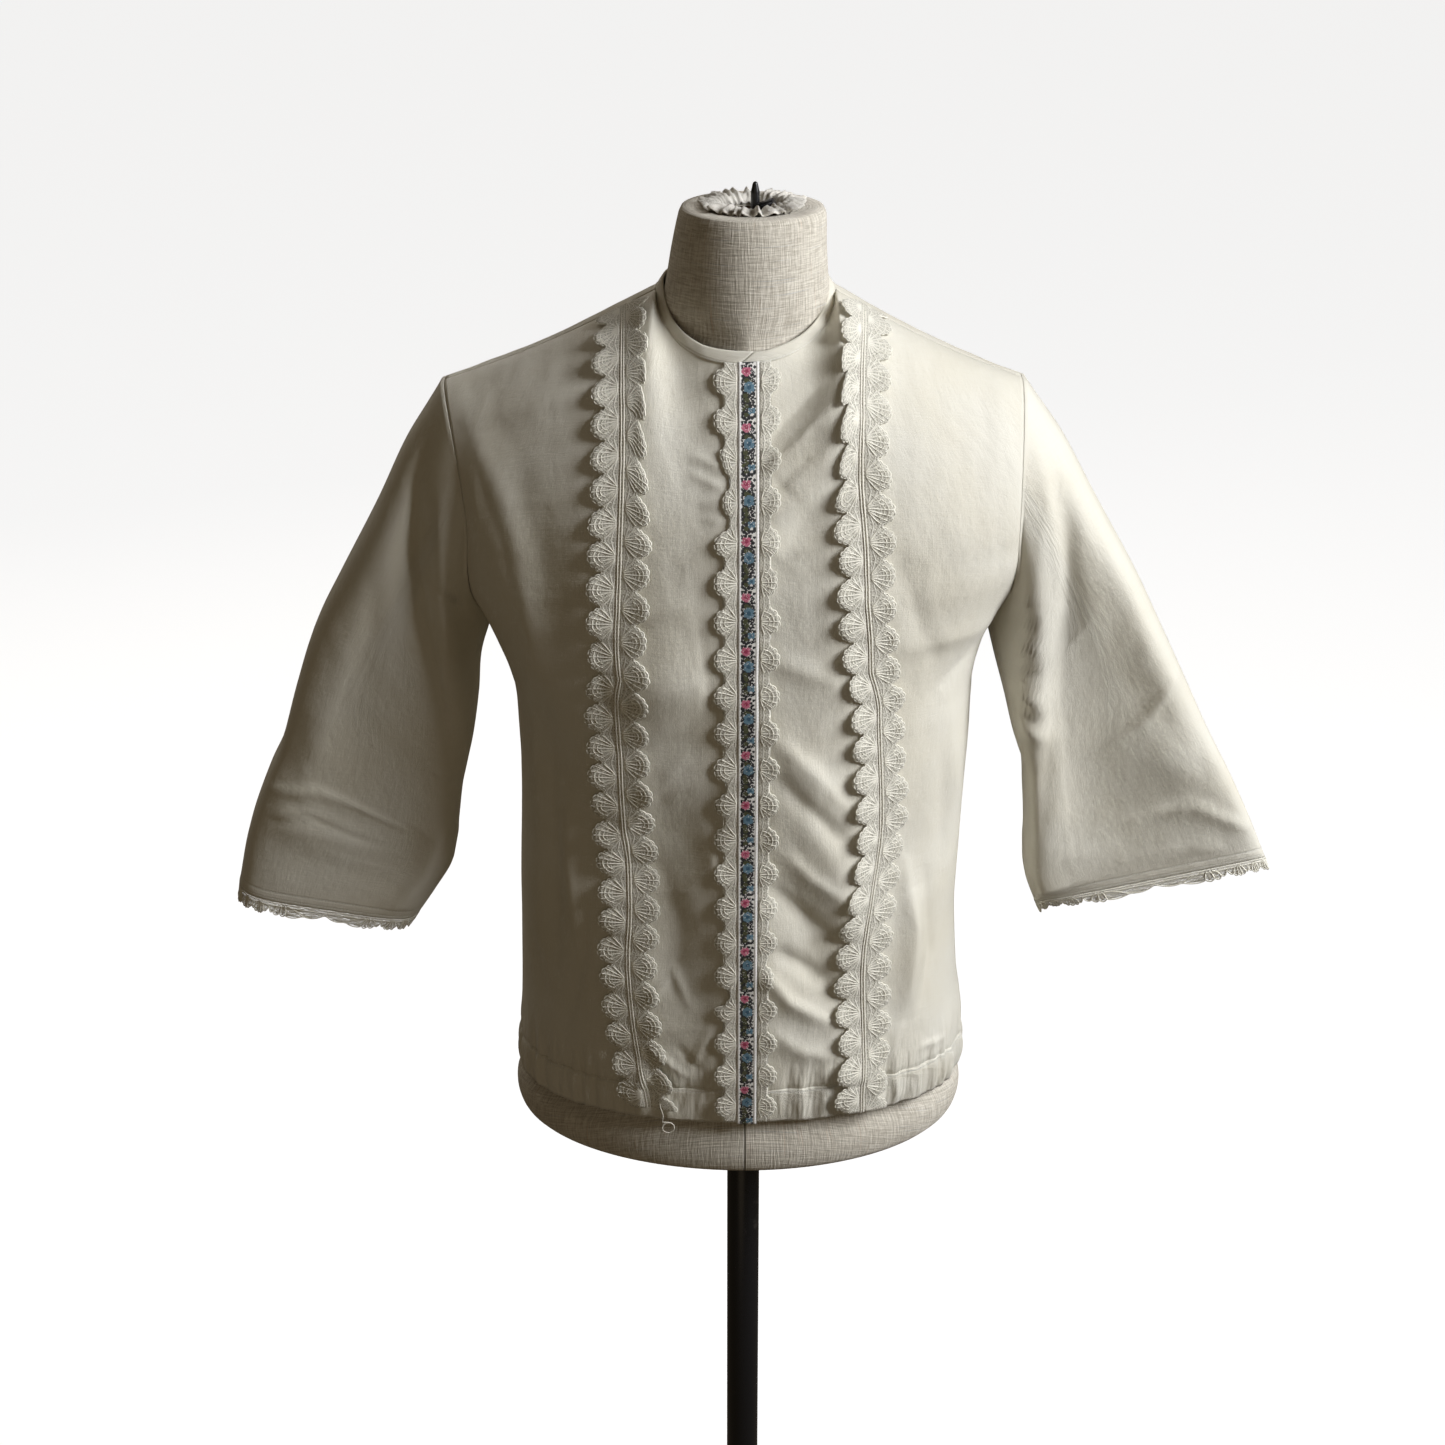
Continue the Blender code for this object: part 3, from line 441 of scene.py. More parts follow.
def wovenBraid(name):  # the floral braid, charted on a grid of threads
    f = Finish(name, {"Sheen Weight": 0.25, "Sheen Roughness": 0.4, "Specular IOR Level": 0.4})
    x, y = f.mapXY()
    wide, tall = braid["thread"]
    column, row = (x / wide).whole(), (y / tall).whole()
    threadX = (column + 0.5) * wide
    threadY = ((row + 0.5) * tall / braid["repeat"]).part() * braid["repeat"]
    spot = f.spot(threadX, threadY)
    shade = f.node("TexWhiteNoise", {"noise_dimensions": "2D"}, {"Vector": f.spot(column, row)})
    # each thread takes a random shade value; it darkens the white ground towards its painted shade
    colour = f.mix(shade * 0.25, *braid["groundAndShade"])
    for kind, tint in braid["colours"].items():
        mask = None
        for cx, cy, radius in braid[kind]:
            far = f.node("VectorMath", {"operation": "DISTANCE"}, {0: spot, 1: (cx, cy, 0)}, 1)
            dot = far < radius * braid["spread"].get(kind, 1.15)
            mask = dot if mask is None else mask.larger(dot)
        # the same value lifts each dot's tint towards a lighter copy: painted light, thread by thread
        lighter = tuple(min(1.0, 0.06 + 1.3 * part) for part in tint[:3]) + (1,)
        colour = f.mix(mask * (1 - (shade > 0.93) * 0.6), colour, f.mix(shade * 0.5, tint, lighter))
    edge = 1 - f.step((x - braid["from"]).smaller(braid["to"] - x), 1.5, 2.1)
    # the twist of the edge cord: its ridges are raised and painted lighter, its grooves painted in shade
    rope = ((y * 3.1 + x * 2.0).wave() * 0.5 + 0.5) * edge
    ribs = ((x / wide * math.pi).wave().size() + (y / tall * math.pi).wave().size()) * 0.5
    colour = f.mix(edge, colour, f.mix(rope, *braid["edge"]))
    return f.done(colour, 0.55 + shade * 0.2, ribs * 0.5 + edge * 1.2 + rope * 0.5, 0.30)


def formLinen(name):
    look = {"light": rgb(0.80, 0.76, 0.67), "dark": rgb(0.44, 0.40, 0.33), "cool": rgb(0.36, 0.42, 0.50),
            "warm": rgb(0.60, 0.40, 0.27), "seam": rgb(0.13, 0.115, 0.09), "seamTop": 1.1}
    f = Finish(name, {"Sheen Weight": 0.12, "Sheen Roughness": 0.6, "Specular IOR Level": 0.25})
    x, y = f.mapXY()
    across = f.cloud(f.spot(x * 0.05, y * 0.8), 1.0, 2.0, 0.6)
    along = f.cloud(f.spot(x * 0.8, y * 0.05, 7.0), 1.0, 2.0, 0.6)
    threads = f.cloud(f.spot(x * 0.20, y * 1.9, 3.0), 1.0, 1.0) * 0.5
    threads = threads + f.cloud(f.spot(x * 1.9, y * 0.20, 5.0), 1.0, 1.0) * 0.5
    tone = f.step(across * 0.5 + along * 0.5, 0.38, 0.62)
    colour = f.mix(tone * 0.6 + f.step(threads, 0.36, 0.64) * 0.4, look["dark"], look["light"])
    cool = f.step(f.cloud(f.spot(x * 0.022, y * 0.85, 21.0), 1.0, 1.0), 0.66, 0.74)
    warm = f.step(f.cloud(f.spot(x * 0.5, y * 0.02, 33.0), 1.0, 1.0), 0.67, 0.75)
    colour = f.mix(cool * 0.30, colour, look["cool"])
    colour = f.mix(warm * 0.30, colour, look["warm"])
    low = f.parts(f.here())[2] < look["seamTop"]
    seam = (1 - f.step(x.size(), 0.35, 0.9)) * low
    colour = f.mix(seam * 0.8, colour, look["seam"])
    height = threads * 0.4 + across * 0.8 + along * 0.8 - seam * 1.6
    return f.done(colour, 0.88 + tone * 0.1, height, 0.6)


def blackPaint(name, rough, bumpDepth, shine):
    look = {"paint": rgb(0.012, 0.012, 0.014), "worn": rgb(0.060, 0.052, 0.046)}
    f = Finish(name, {"Metallic": 0.35, "Specular IOR Level": 0.5, "Coat Roughness": 0.25})
    place = f.here()
    grain = f.cloud(place, 260.0, 3.0)
    wear = f.step(f.cloud(place, 38.0, 5.0, 0.65), 0.60, 0.68)
    f.feed("Coat Weight", shine - wear * shine * 0.7)
    colour = f.mix(wear * 0.6, look["paint"], look["worn"])
    return f.done(colour, grain * 0.18 + rough + wear * 0.15, grain, bumpDepth)


def addObject(name, data):
    item = bpy.data.objects.new(name, data)
    bpy.context.scene.collection.objects.link(item)
    return item


def smoothPiece(name, data, material):
    for polygon in data.polygons:
        polygon.use_smooth = True
    data.materials.clear()
    data.materials.append(material)
    return addObject(name, data)


def keep(name, mesh, material):
    data = bpy.data.meshes.new(name)
    mesh.to_mesh(data)
    mesh.free()
    return smoothPiece(name, data, material)


def gridMap(rows, closedRound=False):  # millimetres across and along the cloth, measured on it
    across, along = [], []
    for j, row in enumerate(rows):
        line = [0.0]
        for a, b in zip(row, row[1:] + ([row[0]] if closedRound else [])):
            line.append(line[-1] + (b - a).length)
        across.append(line)
    for i in range(len(rows[0])):
        line = [0.0]
        for low, high in zip(rows, rows[1:]):
            line.append(line[-1] + (high[i] - low[i]).length)
        along.append(line)
    if closedRound:
        along.append(along[0])
    return lambda i, j: (across[j][i], along[i][j])


def clothPiece(name, rows, material, mapOf, flip=False, joined=False, wall=blouse["cloth"], outwards=False):
    columns, count = len(rows[0]) - (0 if joined else 1), len(rows) - 1
    mesh = bmesh.new()
    bmesh.ops.create_grid(mesh, x_segments=columns, y_segments=count, size=1.0)
    layer = mesh.loops.layers.uv.new("clothMap")
    places = {v: (round((v.co.x + 1) / 2 * columns), round((v.co.y + 1) / 2 * count)) for v in mesh.verts}
    for face in mesh.faces:
        for loop in face.loops:
            loop[layer].uv = mapOf(*places[loop.vert])
    for vert, (i, j) in places.items():
        vert.co = rows[j][i % columns if joined else i] * mm
    if joined:
        bmesh.ops.remove_doubles(mesh, verts=mesh.verts, dist=1e-7)
    if flip:
        bmesh.ops.reverse_faces(mesh, faces=mesh.faces)
    piece = keep(name, mesh, material)
    if wall:
        shell = piece.modifiers.new("Wall", "SOLIDIFY")
        shell.thickness = wall * mm
        shell.offset = 1.0 if outwards else -1.0
    return piece


def dress(piece, slot, *nodes):
    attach(piece, "root")
    if nodes:
        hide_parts(*nodes)
    return piece


def threads(name, lines, radius, material, thin=()):  # cords of thread along many lines, as one mesh
    curve = bpy.data.curves.new(name + "Lines", "CURVE")
    curve.dimensions = "3D"
    curve.bevel_depth = radius * mm
    curve.bevel_resolution = 0
    curve.use_fill_caps = True
    for line, share in [(line, 1.0) for line in lines] + [(line, 0.68) for line in thin]:
        spline = curve.splines.new("POLY")
        spline.points.add(len(line) - 1)
        for place, point in zip(spline.points, line):
            place.co, place.radius = (*(point * mm), 1), share
    holder = addObject(name + "Lines", curve)
    bpy.context.view_layer.update()
    data = bpy.data.meshes.new_from_object(holder.evaluated_get(bpy.context.evaluated_depsgraph_get()))
    bpy.data.objects.remove(holder)
    bpy.data.curves.remove(curve)
    data.name = name
    return dress(smoothPiece(name, data, material), "ivory_lace")


# A profile of (radius, z) turned round the vertical.
def spun(name, profile, steps, material, centre=(0.0, 0.0)):
    mesh = bmesh.new()
    line = [mesh.verts.new((radius * mm, 0, z * mm)) for radius, z in profile]
    edges = [mesh.edges.new(pair) for pair in zip(line, line[1:])]
    bmesh.ops.spin(mesh, geom=line + edges, cent=(0, 0, 0), axis=(0, 0, 1), angle=2 * math.pi, steps=steps,
                   use_merge=True)
    bmesh.ops.remove_doubles(mesh, verts=mesh.verts, dist=1e-6)
    bmesh.ops.recalc_face_normals(mesh, faces=mesh.faces)
    bmesh.ops.translate(mesh, vec=(centre[0] * mm, centre[1] * mm, 0), verts=mesh.verts)
    return keep(name, mesh, material)


def roundProfile(profile, size, steps=4):  # eases the corners of a profile
    eased = [profile[0]]
    for before, corner, after in zip(profile, profile[1:], profile[2:]):
        corner, ends = Vector(corner), []
        for end in (before, after):
            way = Vector(end) - corner
            ends.append(corner + way.normalized() * min(size, way.length * 0.45))
        for k in range(steps + 1):
            t = k / steps
            eased.append(tuple(ends[0].lerp(corner, t).lerp(corner.lerp(ends[1], t), t)))
    return eased + [profile[-1]]


def spread(count, start=0.0, end=1.0):
    return [start + (end - start) * k / count for k in range(count + 1)]


# Rows of points; pointAt takes the column's number and how far on the row is, 0 to 1.
def gridOf(steps, count, pointAt):
    return [[pointAt(i, t) for i in range(count)] for t in spread(steps)]


def say(words):
    print("scene:", words)


def bothSides(name, node):  # the viewer's left is the wearer's right
    return ((-1, name + "Right", node + "_right"), (1, name + "Left", node + "_left"))


stage = {"radius": 30.0, "glow": 0.86, "greys": (0.40, 0.36)}


def buildStage():
    fixed = {"Roughness": 0.9, "Specular IOR Level": 0.05, "Emission Strength": stage["glow"]}
    f = Finish("studioWhite", fixed)
    grain = f.cloud(f.here(), 3.0, 2.0)
    f.feed("Base Color", f.mix(grain * 0.2, *(rgb(grey, grey, grey) for grey in stage["greys"])))
    f.shader.inputs["Emission Color"].default_value = rgb(1, 1, 1)
    mesh = bmesh.new()
    bmesh.ops.create_uvsphere(mesh, u_segments=96, v_segments=48, radius=stage["radius"])
    bmesh.ops.delete(mesh, geom=[v for v in mesh.verts if v.co.z < -0.01], context="VERTS")
    bmesh.ops.reverse_faces(mesh, faces=mesh.faces)
    bmesh.ops.create_circle(mesh, cap_ends=True, segments=96, radius=stage["radius"])
    floor = keep("studioFloor", mesh, f.material)
    floor.visible_diffuse = False
    floor.visible_glossy = False


lights = {
    "windowLight": {"place": (2.08, -0.74, 2.46), "size": 1.6, "power": 90, "colour": (0.97, 0.98, 1.0)},
    "roomFill": {"place": (-0.7, -3.0, 1.4), "size": 2.6, "power": 3.8, "colour": (1.0, 0.80, 0.54)},
    "backFill": {"place": (-1.0, 2.5, 2.3), "size": 2.6, "power": 20, "colour": (1.0, 0.93, 0.82)}}
room = {"aim": (0, 0, 1.1), "colour": (1.0, 0.80, 0.55, 1), "strength": 0.066}


def buildLight():
    for name, look in lights.items():
        data = bpy.data.lights.new(name, "AREA")
        data.shape, data.size, data.energy, data.color = "DISK", look["size"], look["power"], look["colour"]
        item = addObject(name, data)
        item.location = look["place"]
        way = Vector(room["aim"]) - Vector(look["place"])
        item.rotation_euler = way.to_track_quat("-Z", "Y").to_euler()
    world = bpy.data.worlds.new("studioRoom")
    world.use_nodes = True
    world.node_tree.nodes["Background"].inputs["Color"].default_value = room["colour"]
    world.node_tree.nodes["Background"].inputs["Strength"].default_value = room["strength"]
    bpy.context.scene.world = world
    bpy.context.scene.view_settings.view_transform = "Standard"


view = {"place": (-0.0155, -1.7248, 1.7887), "lookDown": 23.53, "lens": 67.27, "sensor": 36.0}


def buildCamera():
    data = bpy.data.cameras.new("photoCamera")
    data.lens, data.sensor_width = view["lens"], view["sensor"]
    camera = addObject("photoCamera", data)
    camera.location = view["place"]
    camera.rotation_euler = (math.radians(90 - view["lookDown"]), 0, 0)
    bpy.context.scene.camera = camera


buildStage()
buildLight()
buildCamera()
say("stage, light and camera")

form = {
    "z": (739, 742, 748, 757, 766, 776, 802, 850, 900, 960, 1020, 1080, 1120, 1180, 1230, 1265, 1290, 1310,
          1325, 1342, 1375, 1396, 1400),
    "left": (152, 161, 165, 166.5, 165, 157.5, 153, 146, 134, 122, 128, 142, 148, 154, 156, 142, 112, 81,
             61.5, 54.5, 48.5, 44, 42.2),
    "right": (144, 153, 157, 158.5, 157, 151.5, 148, 142, 128, 118, 126, 140, 144, 150, 150, 134, 106, 79,
              60.5, 55, 52, 51.5, 49.6),
    "front": (103, 110, 112.5, 113, 112, 109, 105, 100, 92, 86, 92, 104, 107, 96, 82, 72, 63, 57, 55.5,
              54.5, 51, 47.5, 45.6),
    "back": (101, 107, 109.5, 110, 109, 106, 102, 98, 92, 84, 86, 92, 96, 98, 94, 82, 68, 55, 52, 51, 49,
             46.5, 44.6),
    "round": (2, 2, 2, 2, 2, 2, 2, 2, 2, 2, 2, 2, 2, 2, 1.9, 1.7, 1.5, 1.42, 1.5, 1.85, 2, 2, 2),
    "sides": 144, "hole": 12.3, "underside": 739.4, "socketTop": 779, "top": 1400.0, "floor": 1389.0,
    "centreX": 3.5, "neckFrom": 1290, "neckAcross": 1365, "topRows": [1397.5, 1398.8, 1399.6, 1400],
    "lowRows": [739, 739.6, 740.6, 742, 744, 746, 748, 751, 754, 757, 760, 763, 766, 770, 776, 784, 793,
                802]}


def formRing(z):
    sizes = {key: lookUp(form, key, z) for key in ("left", "right", "front", "back", "round")}
    power, ring = 2 / sizes["round"], []
    for k in range(form["sides"]):
        angle = 2 * math.pi * k / form["sides"] + math.pi / 2
        c, s = math.cos(angle), math.sin(angle)
        x = (sizes["right"] if c > 0 else -sizes["left"]) * abs(c) ** power if abs(c) > 1e-9 else 0
        ring.append(Vector((x, (sizes["back"] if s > 0 else -sizes["front"]) * abs(s) ** power, z)))
    return ring


def flatRing(radius, z, centre=0.0):
    turns = [2 * math.pi * k / form["sides"] + math.pi / 2 for k in range(form["sides"])]
    return [Vector((centre + radius * math.cos(a), radius * math.sin(a), z)) for a in turns]


def buildForm():
    top, floor, centreX = form["top"], form["floor"], form["centreX"]
    heights = form["lowRows"] + spread(24, 815, 1230)[:-1] + spread(26, 1230, 1396) + form["topRows"]
    rings = [formRing(z) for z in heights]
    for k, share in ((0, 0.992), (1, 0.997)):  # the round edge of the underside
        rings[k] = [Vector((p.x * share, p.y * share, p.z)) for p in rings[k]]
    mouth = flatRing(form["hole"], form["underside"])
    under = [flatRing(form["hole"], form["socketTop"]), mouth]
    under += [[a.lerp(b, t) for a, b in zip(mouth, rings[0])] for t in (0.3, 0.6, 0.9)]
    over = [[a.lerp(b, t) for a, b in zip(rings[-1], flatRing(34, top + 0.2, centreX))] for t in (0.5, 1)]
    over += [flatRing(22, top - 2, centreX), flatRing(19, top - 4, centreX)]
    rows = under + rings + over
    along, middle = gridMap(rows, True), form["sides"] // 2
    girths = [gridMap([ring] * 2, True) for ring in (rings[20], formRing(form["neckAcross"]))]
    neckRow = next(j for j, row in enumerate(rows) if row[0].z > 1320)

    def mapOf(i, j):  # the neck has a linen of its own
        onNeck = rows[j][0].z > form["neckFrom"]
        across, start = girths[onNeck], along(i, neckRow)[1] if onNeck else 0
        return (across(i, 0)[0] - across(middle, 0)[0], along(i, j)[1] - start)

    piece = clothPiece("linenForm", rows, formLinen("formLinen"), mapOf, joined=True, wall=0)
    dress(piece, "form_linen", "form_body")
    profile = [(0, floor + 0.2), (17.4, floor + 0.2), (18.2, floor + 4), (21.4, floor + 8.6)]
    well = spun("neckWell", roundProfile(profile, 1.0), 48, wellBrown("neckWellBrown"), (centreX, 0))
    dress(well, "form_linen")


def wellBrown(name):
    f = Finish(name, {"Specular IOR Level": 0.2})
    grain = f.cloud(f.here(), 220.0, 4.0)
    colour = f.mix(grain, rgb(0.030, 0.020, 0.012), rgb(0.085, 0.055, 0.032))
    return f.done(colour, 0.8 + grain * 0.1, grain, 0.6)


frill = {"outer": 32.5, "inner": 17.6, "gathers": 26, "around": 240, "across": 14, "wall": 0.5,
         "light": rgb(0.86, 0.84, 0.79), "dark": rgb(0.70, 0.66, 0.58)}


def frillPoint(i, t):
    angle = 2 * math.pi * i / frill["around"]
    wobble = 0.9 * ripple(math.cos(angle) * 3, math.sin(angle) * 3, 2)
    wave = math.cos(frill["gathers"] * angle + 5.0 * wobble)
    wave = wave * (0.9 + 1.1 * ripple(angle * 3.0, t * 2)) + 0.9 * ripple(angle * 9.0, t * 5, 3)
    radius = frill["outer"] + (frill["inner"] - frill["outer"]) * t
    radius += 2.0 * wave * (1 - t) ** 2 + 1.6 * wobble
    lift = 0.9 + 2.6 * math.sin(math.pi * t) ** 0.8 + wave * (1.9 - 0.6 * t) - 3.4 * ease(0.72, 1, t)
    return Vector((form["centreX"] + radius * math.cos(angle) * 1.03, radius * math.sin(angle),
                   form["top"] + 0.6 + max(lift, -2.6)))


def buildFrill():  # the gathered cover round the hole in the neck
    rows = gridOf(frill["across"], frill["around"], frillPoint)
    f = Finish("frillCotton", {"Sheen Weight": 0.3, "Specular IOR Level": 0.35})
    x, y = f.mapXY()
    slub = f.cloud(f.spot(x * 0.5, y * 0.5), 1.0, 3.0)
    height = slub + (x * 9).wave() * (y * 9).wave() * 0.1
    finish = f.done(f.mix(slub, frill["dark"], frill["light"]), 0.7 + slub * 0.1, height, 0.6)
    piece = clothPiece("neckFrill", rows, finish, gridMap(rows, True), joined=True, wall=frill["wall"])
    dress(piece, "form_linen")


buildForm()
buildFrill()
say("form and neck frill")

stand = {"pole": 12.0, "foot": 25.0, "gap": 0.3, "bevel": 0.4,
         "base": 190.0, "edge": 12.0, "crown": 20.0, "hub": 24.0, "hubTop": 52.0}


def buildStand():
    radius, bevel, base, edge, hub = (stand[key] for key in ("pole", "bevel", "base", "edge", "hub"))
    gap = stand["gap"]
    top, foot, hole = form["socketTop"] - gap, stand["foot"] + gap, radius + gap
    profile = [(0, top), (radius - bevel, top), (radius, top - bevel), (radius, foot + bevel),
               (radius - bevel, foot), (0, foot)]
    pole = spun("standPole", profile, 64, blackPaint("poleBlack", 0.20, 0.05, 0.5))
    dress(pole, "black_paint", "pole")
    low, high = stand["foot"], stand["hubTop"]
    profile = [(0, low), (hole, low), (hole, high), (hub - 2, high), (hub, high - 2),
               (hub + 4, stand["crown"]), (base - 40, edge + 4), (base - 4, edge), (base, edge - 4),
               (base, 0), (0, 0)]
    base = spun("standBase", roundProfile(profile, 3.0), 120, blackPaint("baseBlack", 0.34, 0.35, 0.2))
    dress(base, "black_iron", "base")


finial = {"tip": 1416, "knob": 4.2, "knobLong": 15.0, "flutes": 12, "tilt": 68, "knobAt": (8, -3, 1399.5)}


def buildFinial():
    painted, foot = blackPaint("finialBlack", 0.22, 0.08, 0.4), form["floor"] + stand["gap"]
    profile = [(0, finial["tip"]), (1.2, 1415.6), (1.7, 1414.6), (2.9, 1409), (2.9, 1398), (4.8, 1395),
               (8, 1392.5), (8, foot), (0, foot)]
    post = spun("finialPost", roundProfile(profile, 0.6, 2), 40, painted, (form["centreX"] + 2, 0))
    dress(post, "black_paint", "finial")
    mesh, radius, half = bmesh.new(), finial["knob"] * mm, finial["knobLong"] / 2 * mm
    bmesh.ops.create_cone(mesh, cap_ends=True, segments=48, radius1=radius, radius2=radius, depth=2 * half)
    for vert in mesh.verts:  # the clamping knob has a fluted edge
        grow = 1 + 0.05 * math.cos(finial["flutes"] * math.atan2(vert.co.y, vert.co.x))
        vert.co.x *= grow
        vert.co.y *= grow
    rims = [e for e in mesh.edges if all(abs(abs(v.co.z) - half) < 1e-6 for v in e.verts)
            and len(e.link_faces) == 2
            and abs(e.link_faces[0].normal.z) + abs(e.link_faces[1].normal.z) < 1.5]
    bmesh.ops.bevel(mesh, geom=rims, offset=0.7 * mm, segments=3, profile=0.5, affect="EDGES", material=-1)
    lean = math.radians(finial["tilt"])
    tilt = Vector((math.sin(lean), -0.2, math.cos(lean))).to_track_quat("Z", "Y").to_matrix()
    bmesh.ops.rotate(mesh, cent=(0, 0, 0), matrix=tilt, verts=mesh.verts)
    x, y, z = finial["knobAt"]
    bmesh.ops.translate(mesh, vec=((form["centreX"] + x) * mm, y * mm, z * mm), verts=mesh.verts)
    knob = keep("finialKnob", mesh, painted)
    dress(knob, "black_paint")


buildStand()
buildFinial()
say("stand and finial")

# Folds: a path of (x, z) points, half width, height (minus is a trough), and how steep one flank is.
frontFolds = {
    -1: [
        (((-176, 1262), (-150, 1160), (-108, 1060)), 17, 5.0, 1),
        (((-138, 1225), (-120, 1110)), 20, -4.0, 1), (((-112, 1000), (-112, 880)), 15, 3.4, 0.7),
        (((-50, 960), (-36, 860)), 24, -5.0, 1), (((-108, 1170), (-100, 1060), (-98, 980)), 36, 6.5, 1),
        (((-179, 1253), (-159, 1200), (-145, 1131)), 12, -2.6, 0.6),
        (((-114, 1026), (-117, 974), (-114, 919)), 7, 2.2, 0.6),
        (((-64, 992), (-44, 933), (-55, 880)), 15, -2.4, 0.6),
        (((-82, 1056), (-43, 1078), (-12, 1104)), 13, -2.6, 0.6), (((-69, 1101), (-30, 1118)), 9, 1.4, 1),
        (((-90, 1112), (-26, 1122)), 34, 5.0, 1), (((-70, 1016), (-24, 986)), 42, -5.5, 1),
        (((-36, 1260), (-12, 1252)), 3, 0.9, 1), (((-36, 1249), (-11, 1240)), 3, 0.9, 1),
        (((-30, 1231), (-12, 1234)), 3, 0.8, 1), (((-28, 1222), (-12, 1222)), 2.6, 0.6, 1),
        (((-65, 879), (-50, 901), (-38, 874)), 3.4, 1.5, 1), (((-58, 893), (-44, 912)), 3, -0.9, 1),
        (((-23, 860), (-38, 827)), 3.6, 1.7, 0.6), (((-65, 844), (-38, 819)), 4, 1.8, 0.6),
        (((-48, 846), (-30, 824)), 3.4, -1.3, 1), (((-107, 944), (-110, 901), (-126, 838)), 7, -2.2, 0.6),
        (((-139, 1117), (-136, 1008), (-145, 881)), 10, 2.4, 0.7),
        (((-128, 1060), (-126, 960), (-134, 860)), 8, -1.8, 0.7), (((-100, 840), (-110, 809)), 5, 1.6, 1),
        (((-159, 1272), (-120, 1287), (-87, 1296)), 9, 1.8, 0.7), (((-30, 1018), (-14, 959)), 8, 1.8, 0.7),
        (((-69, 1157), (-30, 1171)), 9, 1.2, 1), (((-56, 1030), (-20, 1052)), 8, 1.5, 0.7),
        (((-150, 905), (-140, 850)), 7, -1.6, 0.8)],
    1: [
        (((24, 1240), (70, 1290)), 14, 3.5, 1), (((22, 1200), (74, 1262)), 15, -3.5, 1),
        (((30, 1060), (76, 930)), 18, 4.0, 1), (((26, 980), (70, 860)), 18, -4.0, 1),
        (((118, 950), (116, 850)), 13, 3.4, 0.7), (((13, 1252), (34, 1269), (58, 1293)), 5, 1.9, 0.7),
        (((13, 1269), (58, 1308)), 4, -1.4, 1), (((15, 1222), (62, 1251)), 6, 1.8, 0.7),
        (((13, 1237), (59, 1275)), 5, -1.6, 0.7), (((15, 1200), (59, 1208)), 7, 1.2, 1),
        (((19, 1076), (45, 1050), (69, 1019)), 9, 2.4, 0.6), (((19, 1051), (70, 992)), 8, -2.6, 0.7),
        (((23, 996), (44, 972), (70, 950)), 8, 2.2, 0.6), (((20, 966), (64, 920)), 8, -3.0, 0.6),
        (((14, 904), (30, 882), (60, 860)), 7, 3.0, 0.6), (((20, 921), (37, 908), (61, 888)), 8, -3.0, 0.7),
        (((17, 860), (38, 842), (67, 831)), 7, 1.8, 0.8),
        (((108, 973), (114, 920), (111, 866)), 7, 2.8, 0.6),
        (((123, 960), (128, 897), (122, 853)), 6, -2.4, 0.7), (((123, 824), (143, 819)), 3.4, 1.8, 0.6),
        (((166, 1130), (134, 1131), (103, 1130)), 10, 1.6, 0.8), (((157, 1118), (129, 1093)), 8, -1.8, 0.8),
        (((137, 1081), (145, 998), (144, 919)), 8, 1.8, 0.7), (((108, 851), (98, 814)), 5, 1.6, 0.8),
        (((98, 1193), (124, 1117)), 10, -1.4, 0.8), (((134, 1040), (136, 960)), 7, -1.5, 0.8),
        (((20, 1130), (60, 1112)), 9, 1.5, 0.8)]}
backFolds = [
    (((-120, 1250), (-60, 1130), (-40, 1010)), 15, 3.2, 0.7),
    (((118, 1245), (70, 1120), (44, 1000)), 14, 3.0, 0.7), (((-96, 1190), (-30, 1080)), 13, -2.6, 0.8),
    (((-70, 1000), (-84, 880)), 12, 3.0, 0.7), (((-20, 980), (-10, 860)), 12, 2.8, 0.7),
    (((30, 1010), (52, 870)), 12, -3.0, 0.7), (((90, 1000), (96, 860)), 11, 3.0, 0.7),
    (((-128, 1010), (-130, 870)), 9, -2.2, 0.7), (((60, 930), (120, 900)), 8, 1.8, 0.7),
    (((-110, 960), (-40, 930)), 8, 1.6, 0.7), (((-40, 1240), (40, 1236)), 14, -1.8, 1),
    (((-140, 1130), (-100, 1110)), 8, 1.8, 0.8), (((140, 1130), (104, 1100)), 8, 1.9, 0.8),
    (((-6, 850), (-14, 815)), 5, 1.6, 0.7), (((66, 848), (60, 812)), 5, 1.5, 0.7),
    (((-66, 850), (-70, 812)), 5, 1.6, 0.7)]

uFine = spread(104)
vFine = [vOf(z) for z in (772, 778, 784, 790, 796, 800)] + spread(176)[:-1] + spread(64, 1.0, 2.0)
fronts = {}


def areaOf(rows, joined=False):
    total = 0.0
    for low, high in zip(rows, rows[1:]):
        count = len(low) if joined else len(low) - 1
        for i in range(count):
            k = (i + 1) % len(low)
            total += (low[k] - low[i]).cross(high[i] - low[i]).length / 2
            total += (high[k] - high[i]).cross(high[k] - low[k]).length / 2
    return total * mm * mm


def tucked(cloth, first=0):  # the panel's rows, drawn in where they run under the hem casing
    rows = []
    for row, normals, v in zip(cloth.rows[first:], cloth.normals[first:], cloth.v[first:]):
        under = ease(0, vOf(hem["tuckTop"]), min(v, 0.0))
        rows.append([point - normal * hem["tuck"] * under for point, normal in zip(row, normals)])
    return rows


def buildFronts():
    for side, name, node in bothSides("cottonFront", "front"):
        cloth = Cloth(side, "front", uFine, vFine, readyFolds(frontFolds[side]))
        fronts[side] = cloth
        rows = tucked(cloth, 2)
        finish = ivoryCotton(name + "Cloth", (), side * 2.0, 44.0)
        piece = clothPiece(name, rows, finish, gridMap(rows), flip=side < 0)
        dress(piece, "ivory_cotton", node)
        min(areaOf(cloth.rows[6:]), 0.215 * 0.560)


